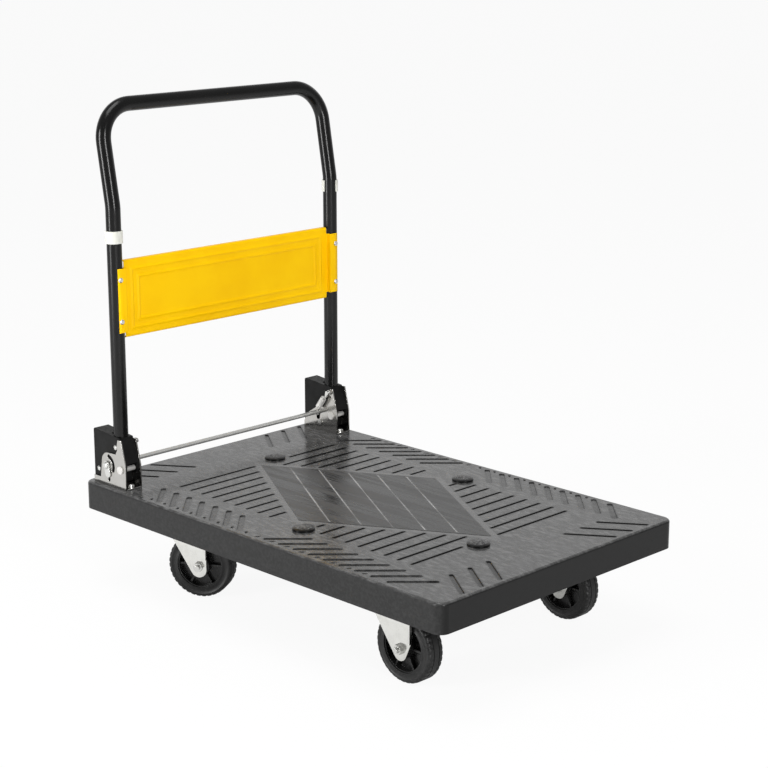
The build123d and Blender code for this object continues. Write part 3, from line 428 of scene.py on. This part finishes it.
def deck_plastic():
    """Charcoal moulded deck: top painted paler, a painted sheen over wear and flow marks; front painted darker as
    painted shade; smoother dark diamond; pale strip lines as painted highlights; painted shade in the grooves.
    """
    g = material_graph("deck_plastic")
    x, y, z = g.parts()
    top = g.spread(z, *DECK_TOP_FADE)
    along = g.math("DIVIDE", x, DIAMOND_HALF_LENGTH)
    across = g.math("DIVIDE", y, DIAMOND_HALF_WIDTH)
    reach = g.math("ADD", g.math("ABSOLUTE", along), g.math("ABSOLUTE", across))
    inside = g.product(g.spread(reach, *DIAMOND_EDGE_FADE), top)
    flow = g.noise(9.0, 4.0, 0.6, g.mapped((1.0, 2.0, 1.0), (0, 0, radians(35))))
    fine = g.noise(190.0, 3.0, 0.6, g.mapped((0.35, 1.0, 1.0), (0, 0, radians(25))))
    streaks = g.noise(85.0, 3.0, 0.6, g.mapped((0.05, 1.0, 1.0), (0, 0, radians(-30))))
    mottle = g.noise(240.0, 3.0, 0.65)
    pits = edge_pits(g, x, y)

    # Top colour: wear and flow marks, painted paler as a painted sheen
    worn_and_sheen = g.mix(g.spread(flow, 0.3, 0.7), *map(grey, WORN_AND_SHEEN_GREYS))
    worn_and_sheen = g.mix(g.spread(fine, 0.42, 0.72, 0.0, 0.8), worn_and_sheen, grey(GRAIN_GREY))
    worn_and_sheen = g.mix(g.spread(reach, *DIAMOND_BORDER_FADE, 0.0, 0.65), worn_and_sheen, grey(BORDER_GREY))
    smooth = g.mix(g.spread(streaks, 0.35, 0.7), *map(grey, DIAMOND_GREYS))
    rim = g.mix(g.spread(mottle, 0.35, 0.7), *map(grey, RIM_GREYS))
    # The front face is painted darker: painted shade on the side away from the lamps
    rim = g.mix(g.spread(x, *DECK_FRONT_SHADE_FADE), rim, grey(RIM_FRONT_SHADE_GREY))
    colour = g.mix(top, rim, g.mix(inside, worn_and_sheen, smooth))
    # Pale lines between the strips: painted highlights
    line = g.product(strip_highlight_lines(g, along, across, reach), top)
    colour = g.mix(line, colour, grey(STRIP_LINE_HIGHLIGHT_GREY))
    # Painted shade in the grooves, beside their lips and in the pits
    colour = g.mix(groove_painted_shade(g, x, y, z, pits), colour, grey(GROOVE_SHADE_GREY))

    patches = g.math("ADD", g.product(mottle, 0.6), g.product(flow, 0.4))
    worn_rough = g.spread(patches, 0.38, 0.62, *WORN_ROUGHNESS)
    smooth_rough = g.spread(streaks, 0.35, 0.65, *DIAMOND_ROUGHNESS)
    top_rough = g.between(inside, worn_rough, smooth_rough)
    rough = g.between(top, RIM_ROUGHNESS, top_rough)
    rough = g.math("MAXIMUM", rough, g.product(pits, PIT_ROUGHNESS))

    dents = g.bump(g.noise(120.0, 3.0, 0.6), 0.00012, 0.40)
    sunk = g.bump(g.rest(g.product(pits, top)), EDGE_PIT_DEPTH, 1.0, dents)
    return g.finish(Base_Color=colour, Roughness=rough, IOR=1.33,
                    Normal=g.bump(mottle, 0.00008, 0.40, sunk))


def moulded_plastic(name, dark, light, roughness, ior):
    """Moulded plastic with slight shading differences and a fine grain."""
    g = material_graph(name)
    cloud = g.noise(45.0, 3.0, 0.6)
    colour = g.mix(g.spread(cloud, 0.35, 0.7), dark, light)
    rough = g.spread(g.noise(160.0, 2.0), 0.3, 0.7, roughness - 0.05, roughness + 0.05)
    return g.finish(Base_Color=colour, Roughness=rough, IOR=ior,
                    Normal=g.bump(g.noise(1400.0, 1.0), 0.00003, 0.6))


def paint(name, dark, light, roughness, ior):
    """Stove enamel: even colour, orange peel and a few duller patches."""
    g = material_graph(name)
    cloud = g.noise(14.0, 3.0, 0.55)
    colour = g.mix(g.spread(cloud, 0.3, 0.7), dark, light)
    dull = g.spread(g.noise(70.0, 4.0, 0.65), 0.5, 0.75, roughness, roughness + 0.08)
    peel = g.bump(g.noise(420.0, 1.0), 0.00003, 0.3)
    return g.finish(Base_Color=colour, Roughness=dull, Normal=peel, IOR=ior)


def zinc(name, above_deck, below_deck, roughness, metallic=1.0):
    """Zinc plate with clouded shine and fine scratches, and with painted upright reflection bands below the deck.
    """
    g = material_graph(name)
    z = g.parts()[2]
    cloud = g.noise(70.0, 4.0, 0.6)
    rolled = g.noise(300.0, 3.0, 0.6, g.mapped((1.0, 1.0, 0.08)))
    reflection_bands = g.noise(34.0, 1.0, 0.5, g.mapped((1.0, 1.0, 0.12)))
    # Darker upright bands below the deck are painted reflections
    colour = g.mix(g.spread(reflection_bands, 0.52, 0.66, 0.0, 0.45), below_deck, ZINC_REFLECTION_BAND)
    colour = g.mix(g.spread(z, *ZINC_ABOVE_FADE), colour, above_deck)
    colour = g.mix(g.spread(cloud, 0.35, 0.75, 0.0, 0.22), colour, ZINC_CLOUD)
    rough = g.spread(cloud, 0.3, 0.75, roughness, roughness + 0.12)
    waves = g.bump(g.noise(90.0, 2.0), 0.00006, 0.35)
    return g.finish(Base_Color=colour, Metallic=metallic, Roughness=rough,
                    Normal=g.bump(rolled, 0.000015, 0.5, waves))


def rubber(name, dark, light, roughness, ior):
    """Black rubber with a fine skin and a greyer bloom."""
    g = material_graph(name)
    bloom = g.noise(60.0, 4.0, 0.65)
    colour = g.mix(g.spread(bloom, 0.4, 0.75), dark, light)
    rough = g.spread(g.noise(240.0, 2.0), 0.3, 0.7, roughness - 0.06, roughness + 0.06)
    return g.finish(Base_Color=colour, Roughness=rough, IOR=ior,
                    Normal=g.bump(g.noise(900.0, 2.0), 0.00005, 0.6))


def cap_rubber():
    """Rubber caps: black round the lip, with a speckled crown painted paler as a painted sheen."""
    g = material_graph("cap_rubber")
    crown = g.spread(g.parts()[2], *CAP_CROWN_FADE)
    specks = g.noise(420.0, 3.0, 0.65)
    # The crown's pale grey is a painted sheen, with specks
    crown_sheen = g.mix(g.spread(specks, 0.42, 0.64), grey(0.012), grey(0.190))
    return g.finish(Base_Color=g.mix(crown, grey(0.002), crown_sheen), IOR=1.34,
                    Roughness=g.between(crown, 0.34, 0.50),
                    Normal=g.bump(specks, 0.00008, 0.6))


MATERIALS = {
    "deck_plastic": deck_plastic(),
    "cap_rubber": cap_rubber(),
    "tube_paint": paint("tube_paint", grey(0.002), grey(0.004), 0.19, 1.37),
    "shoe_plastic": moulded_plastic("shoe_plastic", grey(0.004), grey(0.008), 0.42, 1.24),
    "panel_paint": paint("panel_paint", (0.96, 0.545, 0.0), (1.0, 0.60, 0.001), 0.34, 1.18),
    "clip_plastic": moulded_plastic("clip_plastic", (0.66, 0.66, 0.60), (0.76, 0.76, 0.70), 0.45, 1.45),
    "tyre_rubber": rubber("tyre_rubber", grey(0.006), grey(0.014), 0.46, 1.40),
    "wheel_plastic": moulded_plastic("wheel_plastic", grey(0.004), grey(0.010), 0.28, 1.42),
    "zinc_sheet": zinc("zinc_sheet", (0.53, 0.52, 0.50), (0.76, 0.76, 0.73), 0.11),
    "zinc_steel": zinc("zinc_steel", (0.74, 0.74, 0.72), (0.66, 0.66, 0.64), 0.17),
}
DULL_STEEL = zinc("dull_steel", (0.66, 0.65, 0.63), (0.66, 0.65, 0.63), 0.40, 0.45)
BAR_STEEL = zinc("bar_steel", (0.86, 0.86, 0.84), (0.86, 0.86, 0.84), 0.10, 0.75)


# Mesh helpers


def new_piece(name, points, faces, slot, body=None):
    """Smooth-shaded mesh piece in the row frame, riding on a body where one is given."""
    mesh = bpy.data.meshes.new(name)
    mesh.from_pydata(points, [], faces)
    mesh.validate()
    mesh.polygons.foreach_set("use_smooth", [True] * len(mesh.polygons))
    mesh.materials.append(MATERIALS[slot])
    piece = bpy.data.objects.new(name, mesh)
    bpy.context.scene.collection.objects.link(piece)
    if body is not None:
        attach(piece, body)
    return piece


def tube_mesh(path, radius, sides):
    """Points and faces of a round tube along a path, closed at both ends."""
    points, faces = [], []
    normal = (path[1] - path[0]).orthogonal().normalized()
    for index, here in enumerate(path):
        before = path[max(index - 1, 0)]
        after = path[min(index + 1, len(path) - 1)]
        along = (after - before).normalized()
        normal = (normal - along * normal.dot(along)).normalized()
        across = along.cross(normal)
        for side in range(sides):
            turn = 2 * pi * side / sides
            points.append(here + normal * (radius * cos(turn)) + across * (radius * sin(turn)))
    for ring in range(len(path) - 1):
        for side in range(sides):
            following = (side + 1) % sides
            low, high = ring * sides, (ring + 1) * sides
            faces.append((low + side, low + following, high + following, high + side))
    faces.append(tuple(reversed(range(sides))))
    faces.append(tuple(range((len(path) - 1) * sides, len(path) * sides)))
    return points, faces


def lathe_mesh(profile, place, axis, sides, closed=False, dent=None):
    """Points and faces of a profile of (radius, station) pairs turned about an axis.

    A dent, given a ring and a side, says how far that point lies inside the profile.
    """
    first = axis.orthogonal().normalized()
    second = axis.cross(first)
    points, faces = [], []
    for ring, (radius, station) in enumerate(profile):
        for side in range(sides):
            turn = 2 * pi * side / sides
            reach = radius - dent(ring, side) if dent else radius
            spoke = first * (reach * cos(turn)) + second * (reach * sin(turn))
            points.append(place + axis * station + spoke)
    rings = len(profile)
    for ring in range(rings if closed else rings - 1):
        for side in range(sides):
            following = (side + 1) % sides
            low, high = ring * sides, (ring + 1) % rings * sides
            faces.append((low + side, low + following, high + following, high + side))
    return points, faces


def join_meshes(meshes):
    """One list of points and faces from several."""
    points, faces = [], []
    for more_points, more_faces in meshes:
        start = len(points)
        points += more_points
        faces += [tuple(start + corner for corner in face) for face in more_faces]
    return points, faces


# Springs


def spring_path(name):
    """Wire line of a return spring: hook round the stud, coil, hook round the bar."""
    low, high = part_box(f"return_spring_{name}")
    bar_low, bar_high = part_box("release_bar")
    bar = (bar_low + bar_high) / 2
    hinge = Vector(joints["handle_fold"]["pos_m"])
    stud = hinge + Vector((-STUD_BEHIND_HINGE, 0, STUD_RISE))
    side = -1 if low.y + high.y < 0 else 1
    hook_y = (low.y + SPRING_WIRE / 2) if side < 0 else (high.y - SPRING_WIRE / 2)
    upper = STUD_NECK / 2 + HOOK_CLEARANCE + SPRING_WIRE / 2
    lower = (bar_high.z - bar_low.z) / 2 + HOOK_CLEARANCE + SPRING_WIRE / 2
    reach = hypot(stud.x - bar.x, stud.z - bar.z)
    shank = (reach - upper - lower) * (1 - SPRING_COIL_SHARE) / 2
    coil_length = reach - upper - lower - 2 * shank
    down = Vector((bar.x - stud.x, 0, bar.z - stud.z)) / reach
    across = Vector((down.z, 0, -down.x))
    inward = Vector((0, -side, 0))
    top = Vector((stud.x, hook_y, stud.z))
    foot = Vector((bar.x, hook_y, bar.z))
    path = []
    for step in range(STEPS_PER_TURN):
        turn = radians(360 - HOOK_ARC * step / STEPS_PER_TURN)
        path.append(top + across * (upper * cos(turn)) + down * (upper * sin(turn)))
    coil_steps = STEPS_PER_TURN * SPRING_TURNS
    start = top + down * (upper + shank) + inward * SPRING_COIL_RADIUS
    for step in range(coil_steps + 1):
        turn = 2 * pi * SPRING_TURNS * step / coil_steps
        round_part = (across * sin(turn) - inward * cos(turn)) * SPRING_COIL_RADIUS
        path.append(start + round_part + down * (coil_length * step / coil_steps))
    for step in range(1, STEPS_PER_TURN + 1):
        turn = radians(-90 + HOOK_ARC * step / STEPS_PER_TURN)
        path.append(foot + across * (lower * cos(turn)) + down * (lower * sin(turn)))
    return path, top + down * upper, foot - down * lower


def make_spring(name):
    """Return spring that stretches between its stud and the release bar."""
    path, start, end = spring_path(name)
    points, faces = tube_mesh(path, SPRING_WIRE / 2, SPRING_SIDES)
    piece = new_piece(f"spring_{name}", points, faces, "zinc_steel")
    piece.data.materials[0] = DULL_STEEL
    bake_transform(piece)
    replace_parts(piece, f"return_spring_{name}")


# Rivets and tyres


def make_shoe_rivets():
    """Rivets through the shoes, with domed heads sunk in their pockets."""
    hinge = Vector(joints["handle_fold"]["pos_m"])
    profile = [(RIVET_HEAD_RADIUS, -RIVET_SIDE)]
    for step in range(RIVET_STEPS + 1):
        share = 1 - step / RIVET_STEPS
        profile.append((RIVET_CROWN_RADIUS * share + RIVET_TIP_RADIUS, -RIVET_DOME * share**2))
    meshes = []
    for side in (-1, 1):
        for ahead, above in RIVET_PLACES:
            for face in (-1, 1):
                place = hinge + Vector((ahead, side * TUBE_Y + face * SHOE_HALF_WIDTH, above))
                meshes.append(lathe_mesh(profile, place, Vector((0, face, 0)), RIVET_SIDES))
    points, faces = join_meshes(meshes)
    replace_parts(new_piece("shoe_rivet_heads", points, faces, "zinc_steel", "handle"), "shoe_rivets")


def tyre_profile():
    """Tyre section: rounded shoulders, sunk sidewalls and two grooves round the tread."""
    half = TYRE_HALF_WIDTH
    shoulder = TYRE_RADIUS - TYRE_SHOULDER
    bead = TYRE_INNER_RADIUS + SIDEWALL_BEAD
    border = shoulder - SIDEWALL_BORDER
    side = [(TYRE_INNER_RADIUS, half), (bead, half), (bead + SIDEWALL_FLANK, half - SIDEWALL_SINK),
            (border - SIDEWALL_FLANK, half - SIDEWALL_SINK), (border, half)]
    for step in range(TYRE_SHOULDER_STEPS + 1):
        turn = radians(90 * step / TYRE_SHOULDER_STEPS)
        side.append((shoulder + TYRE_SHOULDER * sin(turn), half - TYRE_SHOULDER * (1 - cos(turn))))
    depths = (0, TREAD_GROOVE_DEPTH, TREAD_GROOVE_DEPTH, 0)
    for station, depth in zip(TREAD_GROOVE_STATIONS, depths):
        side.append((TYRE_RADIUS - depth, station))
    return side + [(radius, -station) for radius, station in reversed(side)]


def make_tyre(end, name):
    """Tyre of one wheel, turned about its axle, with notches across its shoulders."""
    joint = joints[f"roll_{end}_{name}"]
    profile = tyre_profile()

    def dent(ring, side):
        """Depth of the notches at a point of the tyre."""
        radius, station = profile[ring]
        in_notch = side % NOTCH_STEPS < NOTCH_OPEN_STEPS
        on_shoulder = radius > NOTCH_INNER_RADIUS and abs(station) > NOTCH_INNER_END
        return NOTCH_DEPTH if in_notch and on_shoulder else 0.0

    points, faces = lathe_mesh(profile, Vector(joint["pos_m"]), Vector(joint["axis"]),
                               NOTCHES * NOTCH_STEPS, closed=True, dent=dent)
    piece = new_piece(f"tread_{end}_{name}", points, faces, "tyre_rubber", f"wheel_{end}_{name}")
    piece.modifiers.new("edges", "EDGE_SPLIT").split_angle = radians(TYRE_SHARP_ANGLE)
    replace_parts(piece, f"tyre_{end}_{name}")


# Panel


def panel_rows(middle, half_height):
    """(depth, height) stations up the panel: lower lip, face and upper lip, ordered upwards."""
    radius = PANEL_EDGE_RADIUS
    lower = [(-PANEL_LIP, -half_height), (-(PANEL_LIP + radius) / 2, -half_height)]
    for step in range(PANEL_EDGE_STEPS):
        turn = radians(90 * step / PANEL_EDGE_STEPS)
        lower.append((-radius + radius * sin(turn), -half_height + radius - radius * cos(turn)))
    face_end = half_height - radius
    face = [-face_end + 2 * face_end * step / PANEL_FACE_ROWS for step in range(PANEL_FACE_ROWS + 1)]
    nearest = min(face, key=lambda height: abs(height - TAB_HALF_HEIGHT))
    face = [height for height in face if abs(height) != nearest] + [TAB_HALF_HEIGHT, -TAB_HALF_HEIGHT]
    rows = lower + [(0.0, height) for height in sorted(face)]
    rows += [(depth, -height) for depth, height in reversed(lower)]
    return [(depth, middle + height) for depth, height in rows]


def panel_columns():
    """(depth, y, is_tab) stations across the panel: tab, step, flat part, step and tab."""
    inner = PANEL_HALF_WIDTH - FRAME_ZONE
    half = [inner * step / PANEL_MIDDLE_COLUMNS for step in range(PANEL_MIDDLE_COLUMNS)]
    half += [inner + FRAME_ZONE * step / PANEL_FRAME_COLUMNS for step in range(PANEL_FRAME_COLUMNS + 1)]
    flat = [-y for y in reversed(half[1:])] + half
    turns = [radians(90 * step / PANEL_BEND_STEPS) for step in range(PANEL_BEND_STEPS + 1)]
    step_out = []
    for turn in turns[1:]:
        step_out.append((PANEL_BEND * (1 - cos(turn)), PANEL_HALF_WIDTH + PANEL_BEND * sin(turn)))
    for turn in turns:
        depth = PANEL_STEP - PANEL_BEND * (1 - sin(turn))
        step_out.append((depth, PANEL_WALL_Y + PANEL_BEND * (1 - cos(turn))))
    tab_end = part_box("handle_panel")[1].y
    step_out += [(PANEL_STEP, (PANEL_WALL_Y + PANEL_BEND + tab_end) / 2), (PANEL_STEP, tab_end)]
    columns = [(depth, -y, True) for depth, y in reversed(step_out)]
    columns += [(0.0, y, False) for y in flat]
    return columns + [(depth, y, True) for depth, y in step_out]


def frame_relief(inset):
    """Height of the two raised frames at a distance from the panel's edge."""
    for line in FRAME_INSETS:
        share = (FRAME_WIDTH / 2 - abs(inset - line)) / FRAME_FLANK
        if share > 0:
            share = min(share, 1.0)
            return FRAME_RISE * share * share * (3 - 2 * share)
    return 0.0


def make_panel():
    """Pressed panel: flat part set back between the tubes, raised frames, stepped tabs, lips."""
    low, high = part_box("handle_panel")
    half_height = (high.z - low.z) / 2
    middle = low.z + half_height
    flat_face = high.x - PANEL_CAD_FRAME_RISE - PANEL_STEP
    rows = panel_rows(middle, half_height)
    columns = panel_columns()
    points, faces, index = [], [], {}

    def point(row, column):
        """Index of a grid point, made when it is first asked for."""
        if (row, column) not in index:
            back, height = rows[row]
            forward, y, is_tab = columns[column]
            inset = min(PANEL_HALF_WIDTH - abs(y), half_height - abs(height - middle))
            rise = 0.0 if is_tab else frame_relief(inset)
            index[row, column] = len(points)
            points.append((flat_face + back + forward + rise, y, height))
        return index[row, column]

    for row in range(len(rows) - 1):
        highest = max(abs(rows[row][1] - middle), abs(rows[row + 1][1] - middle))
        tab_row = highest < TAB_HALF_HEIGHT + TAB_SLACK
        for column in range(len(columns) - 1):
            if tab_row or not (columns[column][2] or columns[column + 1][2]):
                faces.append((point(row, column), point(row, column + 1),
                              point(row + 1, column + 1), point(row + 1, column)))
    panel = new_piece("pressed_panel", points, faces, "panel_paint", "handle")
    sheet = panel.modifiers.new("sheet", "SOLIDIFY")
    sheet.thickness = PANEL_SHEET
    sheet.offset = -1.0
    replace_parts(panel, "handle_panel")


# Hinge brackets


def arc(centre_behind, centre_rise, radius, start, end, steps=12):
    """Points of an arc seen from the -Y side, with angles from the front end upwards."""
    turns = [radians(start + (end - start) * step / steps) for step in range(steps + 1)]
    return [(-centre_behind + radius * cos(turn), centre_rise + radius * sin(turn)) for turn in turns]


def upright_slot(behind, rise, width, height):
    """Outline of a round-ended upright slot."""
    straight = (height - width) / 2
    return arc(behind, rise + straight, width / 2, 0, 180) + arc(behind, rise - straight, width / 2, 180, 360)


def crescent():
    """Outline of the round-ended crescent cut about the bar."""
    behind, rise, radius, width = CRESCENT
    start, end = CRESCENT_ANGLES
    outer = arc(behind, rise, radius + width / 2, start, end, CRESCENT_STEPS)
    inner = arc(behind, rise, radius - width / 2, end, start, CRESCENT_STEPS)

    def tip(turn, first):
        """Round end at an angle of the crescent, from a first angle on, without its ends."""
        place = (behind - radius * cos(radians(turn)), rise + radius * sin(radians(turn)))
        return arc(*place, width / 2, first, first + 180)[1:-1]

    return outer + tip(end, end) + inner + tip(start, start + 180)


def wall_front():
    """Corners that both walls of a bracket share: foot, front edge and top."""
    return [(-BRACKET_REAR, BRACKET_FOOT), (BRACKET_FRONT, BRACKET_FOOT),
            (BRACKET_FRONT, POST_FOOT_RISE), POST_TOP_FRONT]


def outer_wall():
    """Outlines of a bracket's outer wall: its edge and its cuts."""
    edge = wall_front() + [POST_TOP_REAR]
    edge += arc(*TUBE_POCKET, *TUBE_POCKET_ANGLES) + [POCKET_TO_LOBE] + arc(*LOBE, *LOBE_ANGLES)
    edge += [LOBE_FOOT, (-BRACKET_REAR, REAR_RISE)]
    return [edge, upright_slot(*BAR_SLOT), upright_slot(*LOWER_HOLE), crescent()]


def inner_wall():
    """Outlines of a bracket's inner wall, which is lower behind and has the bar's slot alone."""
    edge = wall_front() + arc(STUD_BEHIND_HINGE, STUD_RISE, STUD_EAR, *STUD_EAR_ANGLES)
    edge += [*INNER_SLOPE, (-BRACKET_REAR, REAR_RISE)]
    return [edge, upright_slot(*BAR_SLOT)]


def sheet_mesh(outlines, y):
    """Points and faces of an upright sheet with cuts, at a place across the cart."""
    hinge = Vector(joints["handle_fold"]["pos_m"])
    curve = bpy.data.curves.new("outline", "CURVE")
    curve.dimensions = "2D"
    curve.fill_mode = "BOTH"
    curve.bevel_depth = BRACKET_EDGE
    curve.bevel_resolution = 1
    curve.offset = -BRACKET_EDGE
    curve.extrude = BRACKET_SHEET / 2 - BRACKET_EDGE
    for points in outlines:
        spline = curve.splines.new("POLY")
        spline.points.add(len(points) - 1)
        for spot, (ahead, rise) in zip(spline.points, points):
            spot.co = (ahead, rise, 0.0, 1.0)
        spline.use_cyclic_u = True
    item = bpy.data.objects.new("outline", curve)
    mesh = bpy.data.meshes.new_from_object(item)
    points = [(hinge.x + spot.co.x, y - spot.co.z, hinge.z + spot.co.y) for spot in mesh.vertices]
    faces = [tuple(face.vertices) for face in mesh.polygons]
    bpy.data.objects.remove(item)
    bpy.data.curves.remove(curve)
    bpy.data.meshes.remove(mesh)
    return points, faces


def base_mesh(middle_y):
    """Points and faces of a bracket's base between its walls."""
    hinge = Vector(joints["handle_fold"]["pos_m"])
    inside = BRACKET_HALF_WIDTH - BRACKET_SHEET
    low = hinge.z + BRACKET_FOOT
    corners = []
    for x in (hinge.x - BRACKET_REAR, hinge.x + BRACKET_FRONT):
        for y in (middle_y - inside, middle_y + inside):
            for z in (low, low + BRACKET_SHEET):
                corners.append((x, y, z))
    faces = [(0, 1, 3, 2), (4, 6, 7, 5), (0, 4, 5, 1), (2, 3, 7, 6), (0, 2, 6, 4), (1, 5, 7, 3)]
    return corners, faces


def make_bracket(name):
    """Folded hinge bracket: base, cut-out outer wall and plain inner wall."""
    side = -1 if name == "left" else 1
    wall_y = BRACKET_HALF_WIDTH - BRACKET_SHEET / 2
    points, faces = join_meshes([base_mesh(side * TUBE_Y),
                                 sheet_mesh(outer_wall(), side * (TUBE_Y + wall_y)),
                                 sheet_mesh(inner_wall(), side * (TUBE_Y - wall_y))])
    piece = new_piece(f"bracket_sheet_{name}", points, faces, "zinc_sheet", "base")
    piece.modifiers.new("weld", "WELD").merge_threshold = BRACKET_WELD
    normals = piece.modifiers.new("normals", "WEIGHTED_NORMAL")
    normals.weight = BRACKET_NORMAL_WEIGHT
    normals.keep_sharp = False
    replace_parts(piece, f"hinge_bracket_{name}")


# CAD nodes that stay

NODE_MATERIALS = {
    "hinge_pin_left": DULL_STEEL,
    "hinge_pin_right": DULL_STEEL,
    "release_bar": BAR_STEEL,
}


def dress_node(node, slot):
    """Give a CAD node its material and, where its slot has a width, softened edges."""
    item = nodes[node]
    item.data.materials.clear()
    item.data.materials.append(NODE_MATERIALS.get(node, MATERIALS[slot]))
    if slot not in EDGE_WIDTHS:
        return
    item.modifiers.new("weld", "WELD").merge_threshold = EDGE_WELD
    flat = item.modifiers.new("flat", "DECIMATE")
    flat.decimate_type = "DISSOLVE"
    flat.angle_limit = radians(EDGE_FLAT_ANGLE)
    bevel = item.modifiers.new("bevel", "BEVEL")
    bevel.width = EDGE_WIDTHS[slot]
    bevel.segments = EDGE_SEGMENTS
    bevel.limit_method = "ANGLE"
    bevel.angle_limit = radians(EDGE_ANGLE)
    item.modifiers.new("normals", "WEIGHTED_NORMAL").keep_sharp = False


def dress_nodes():
    """Materials and edges of every CAD node."""
    for row in frame["record"]["subparts"]:
        dress_node(row["node"], row["material_slot"])


# Studio


def floor_paper():
    """White paper floor that still shows the cart's shadow."""
    g = material_graph("floor_paper")
    g.finish(Base_Color=g.mix(g.noise(2.0, 2.0), *map(grey, FLOOR_GREYS)), Roughness=FLOOR_ROUGHNESS)
    glow = g.tree.nodes.new("ShaderNodeEmission")
    path = g.tree.nodes.new("ShaderNodeLightPath").outputs
    shiny = g.math("MAXIMUM", path["Is Glossy Ray"], path["Is Transmission Ray"])
    share = g.math("MAXIMUM", g.product(path["Is Camera Ray"], FLOOR_GLOW_CAMERA),
                   g.product(shiny, FLOOR_GLOW_SHINE))
    blend = g.tree.nodes.new("ShaderNodeMixShader")
    g.feed(blend.inputs[0], share)
    g.feed(blend.inputs[1], g.shader.outputs[0])
    g.feed(blend.inputs[2], glow.outputs[0])
    g.feed(g.tree.nodes["Material Output"].inputs["Surface"], blend.outputs[0])
    return g.owner


def make_floor():
    """Wide plain floor."""
    reach = FLOOR_REACH
    mesh = bpy.data.meshes.new("floor")
    corners = [(-reach, -reach, 0), (reach, -reach, 0), (reach, reach, 0), (-reach, reach, 0)]
    mesh.from_pydata(corners, [], [(0, 1, 2, 3)])
    mesh.materials.append(floor_paper())
    floor = bpy.data.objects.new("floor", mesh)
    bpy.context.scene.collection.objects.link(floor)


def make_world():
    """Grey surround with a white wall behind the cart, white to the camera on every side."""
    world = bpy.data.worlds.new("surround")
    bpy.context.scene.world = world
    g = Graph(world, "Background", "Generated")
    height = g.parts()[2]
    behind = g.tree.nodes.new("ShaderNodeVectorMath")
    behind.operation = "DOT_PRODUCT"
    g.feed(behind.inputs[0], g.place)
    behind.inputs[1].default_value = (-sin(radians(CAMERA_AZIMUTH)), cos(radians(CAMERA_AZIMUTH)), 0.0)
    wall = g.product(g.spread(behind.outputs["Value"], *WALL_SIDE_FADE, 0.0, WALL_LIGHT - ROOM_LIGHT),
                     g.spread(height, *WALL_TOP_FADE, 1.0, 0.0))
    room = g.spread(height, 0.0, 1.0, ROOM_LIGHT, CEILING_LIGHT)
    camera_ray = g.tree.nodes.new("ShaderNodeLightPath").outputs["Is Camera Ray"]
    g.finish(Color=(1.0, 1.0, 1.0, 1.0), Strength=g.math("MAXIMUM", camera_ray, g.math("ADD", wall, room)))


def add_lamp(name, place, width, height, power):
    """Soft box aimed at the cart's middle."""
    lamp = bpy.data.lights.new(name, "AREA")
    lamp.shape = "RECTANGLE"
    lamp.size = width
    lamp.size_y = height
    lamp.energy = power
    item = bpy.data.objects.new(name, lamp)
    item.location = place
    aim = Vector(LAMP_AIM) - Vector(place)
    item.rotation_euler = aim.to_track_quat("-Z", "Y").to_euler()
    item.visible_camera = False
    bpy.context.scene.collection.objects.link(item)


def make_lamps():
    """Upright strip boxes from the left and the front right, and a square one above."""
    for name, (place, width, height, power) in LAMPS.items():
        add_lamp(name, place, width, height, power)


def make_camera():
    """Camera at the photograph's place."""
    data = bpy.data.cameras.new("camera")
    data.lens = CAMERA_LENS
    data.sensor_width = SENSOR_WIDTH
    camera = bpy.data.objects.new("camera", data)
    camera.location = CAMERA_PLACE
    camera.rotation_euler = (radians(90 - CAMERA_TILT), 0, radians(CAMERA_AZIMUTH))
    bpy.context.scene.collection.objects.link(camera)
    bpy.context.scene.camera = camera


dress_nodes()
make_shoe_rivets()
make_panel()
for side_name in SIDES:
    make_bracket(side_name)
    make_spring(side_name)
    for end_name in ENDS:
        make_tyre(end_name, side_name)
make_floor()
make_world()
make_lamps()
make_camera()
bpy.context.scene.view_settings.view_transform = "Standard"
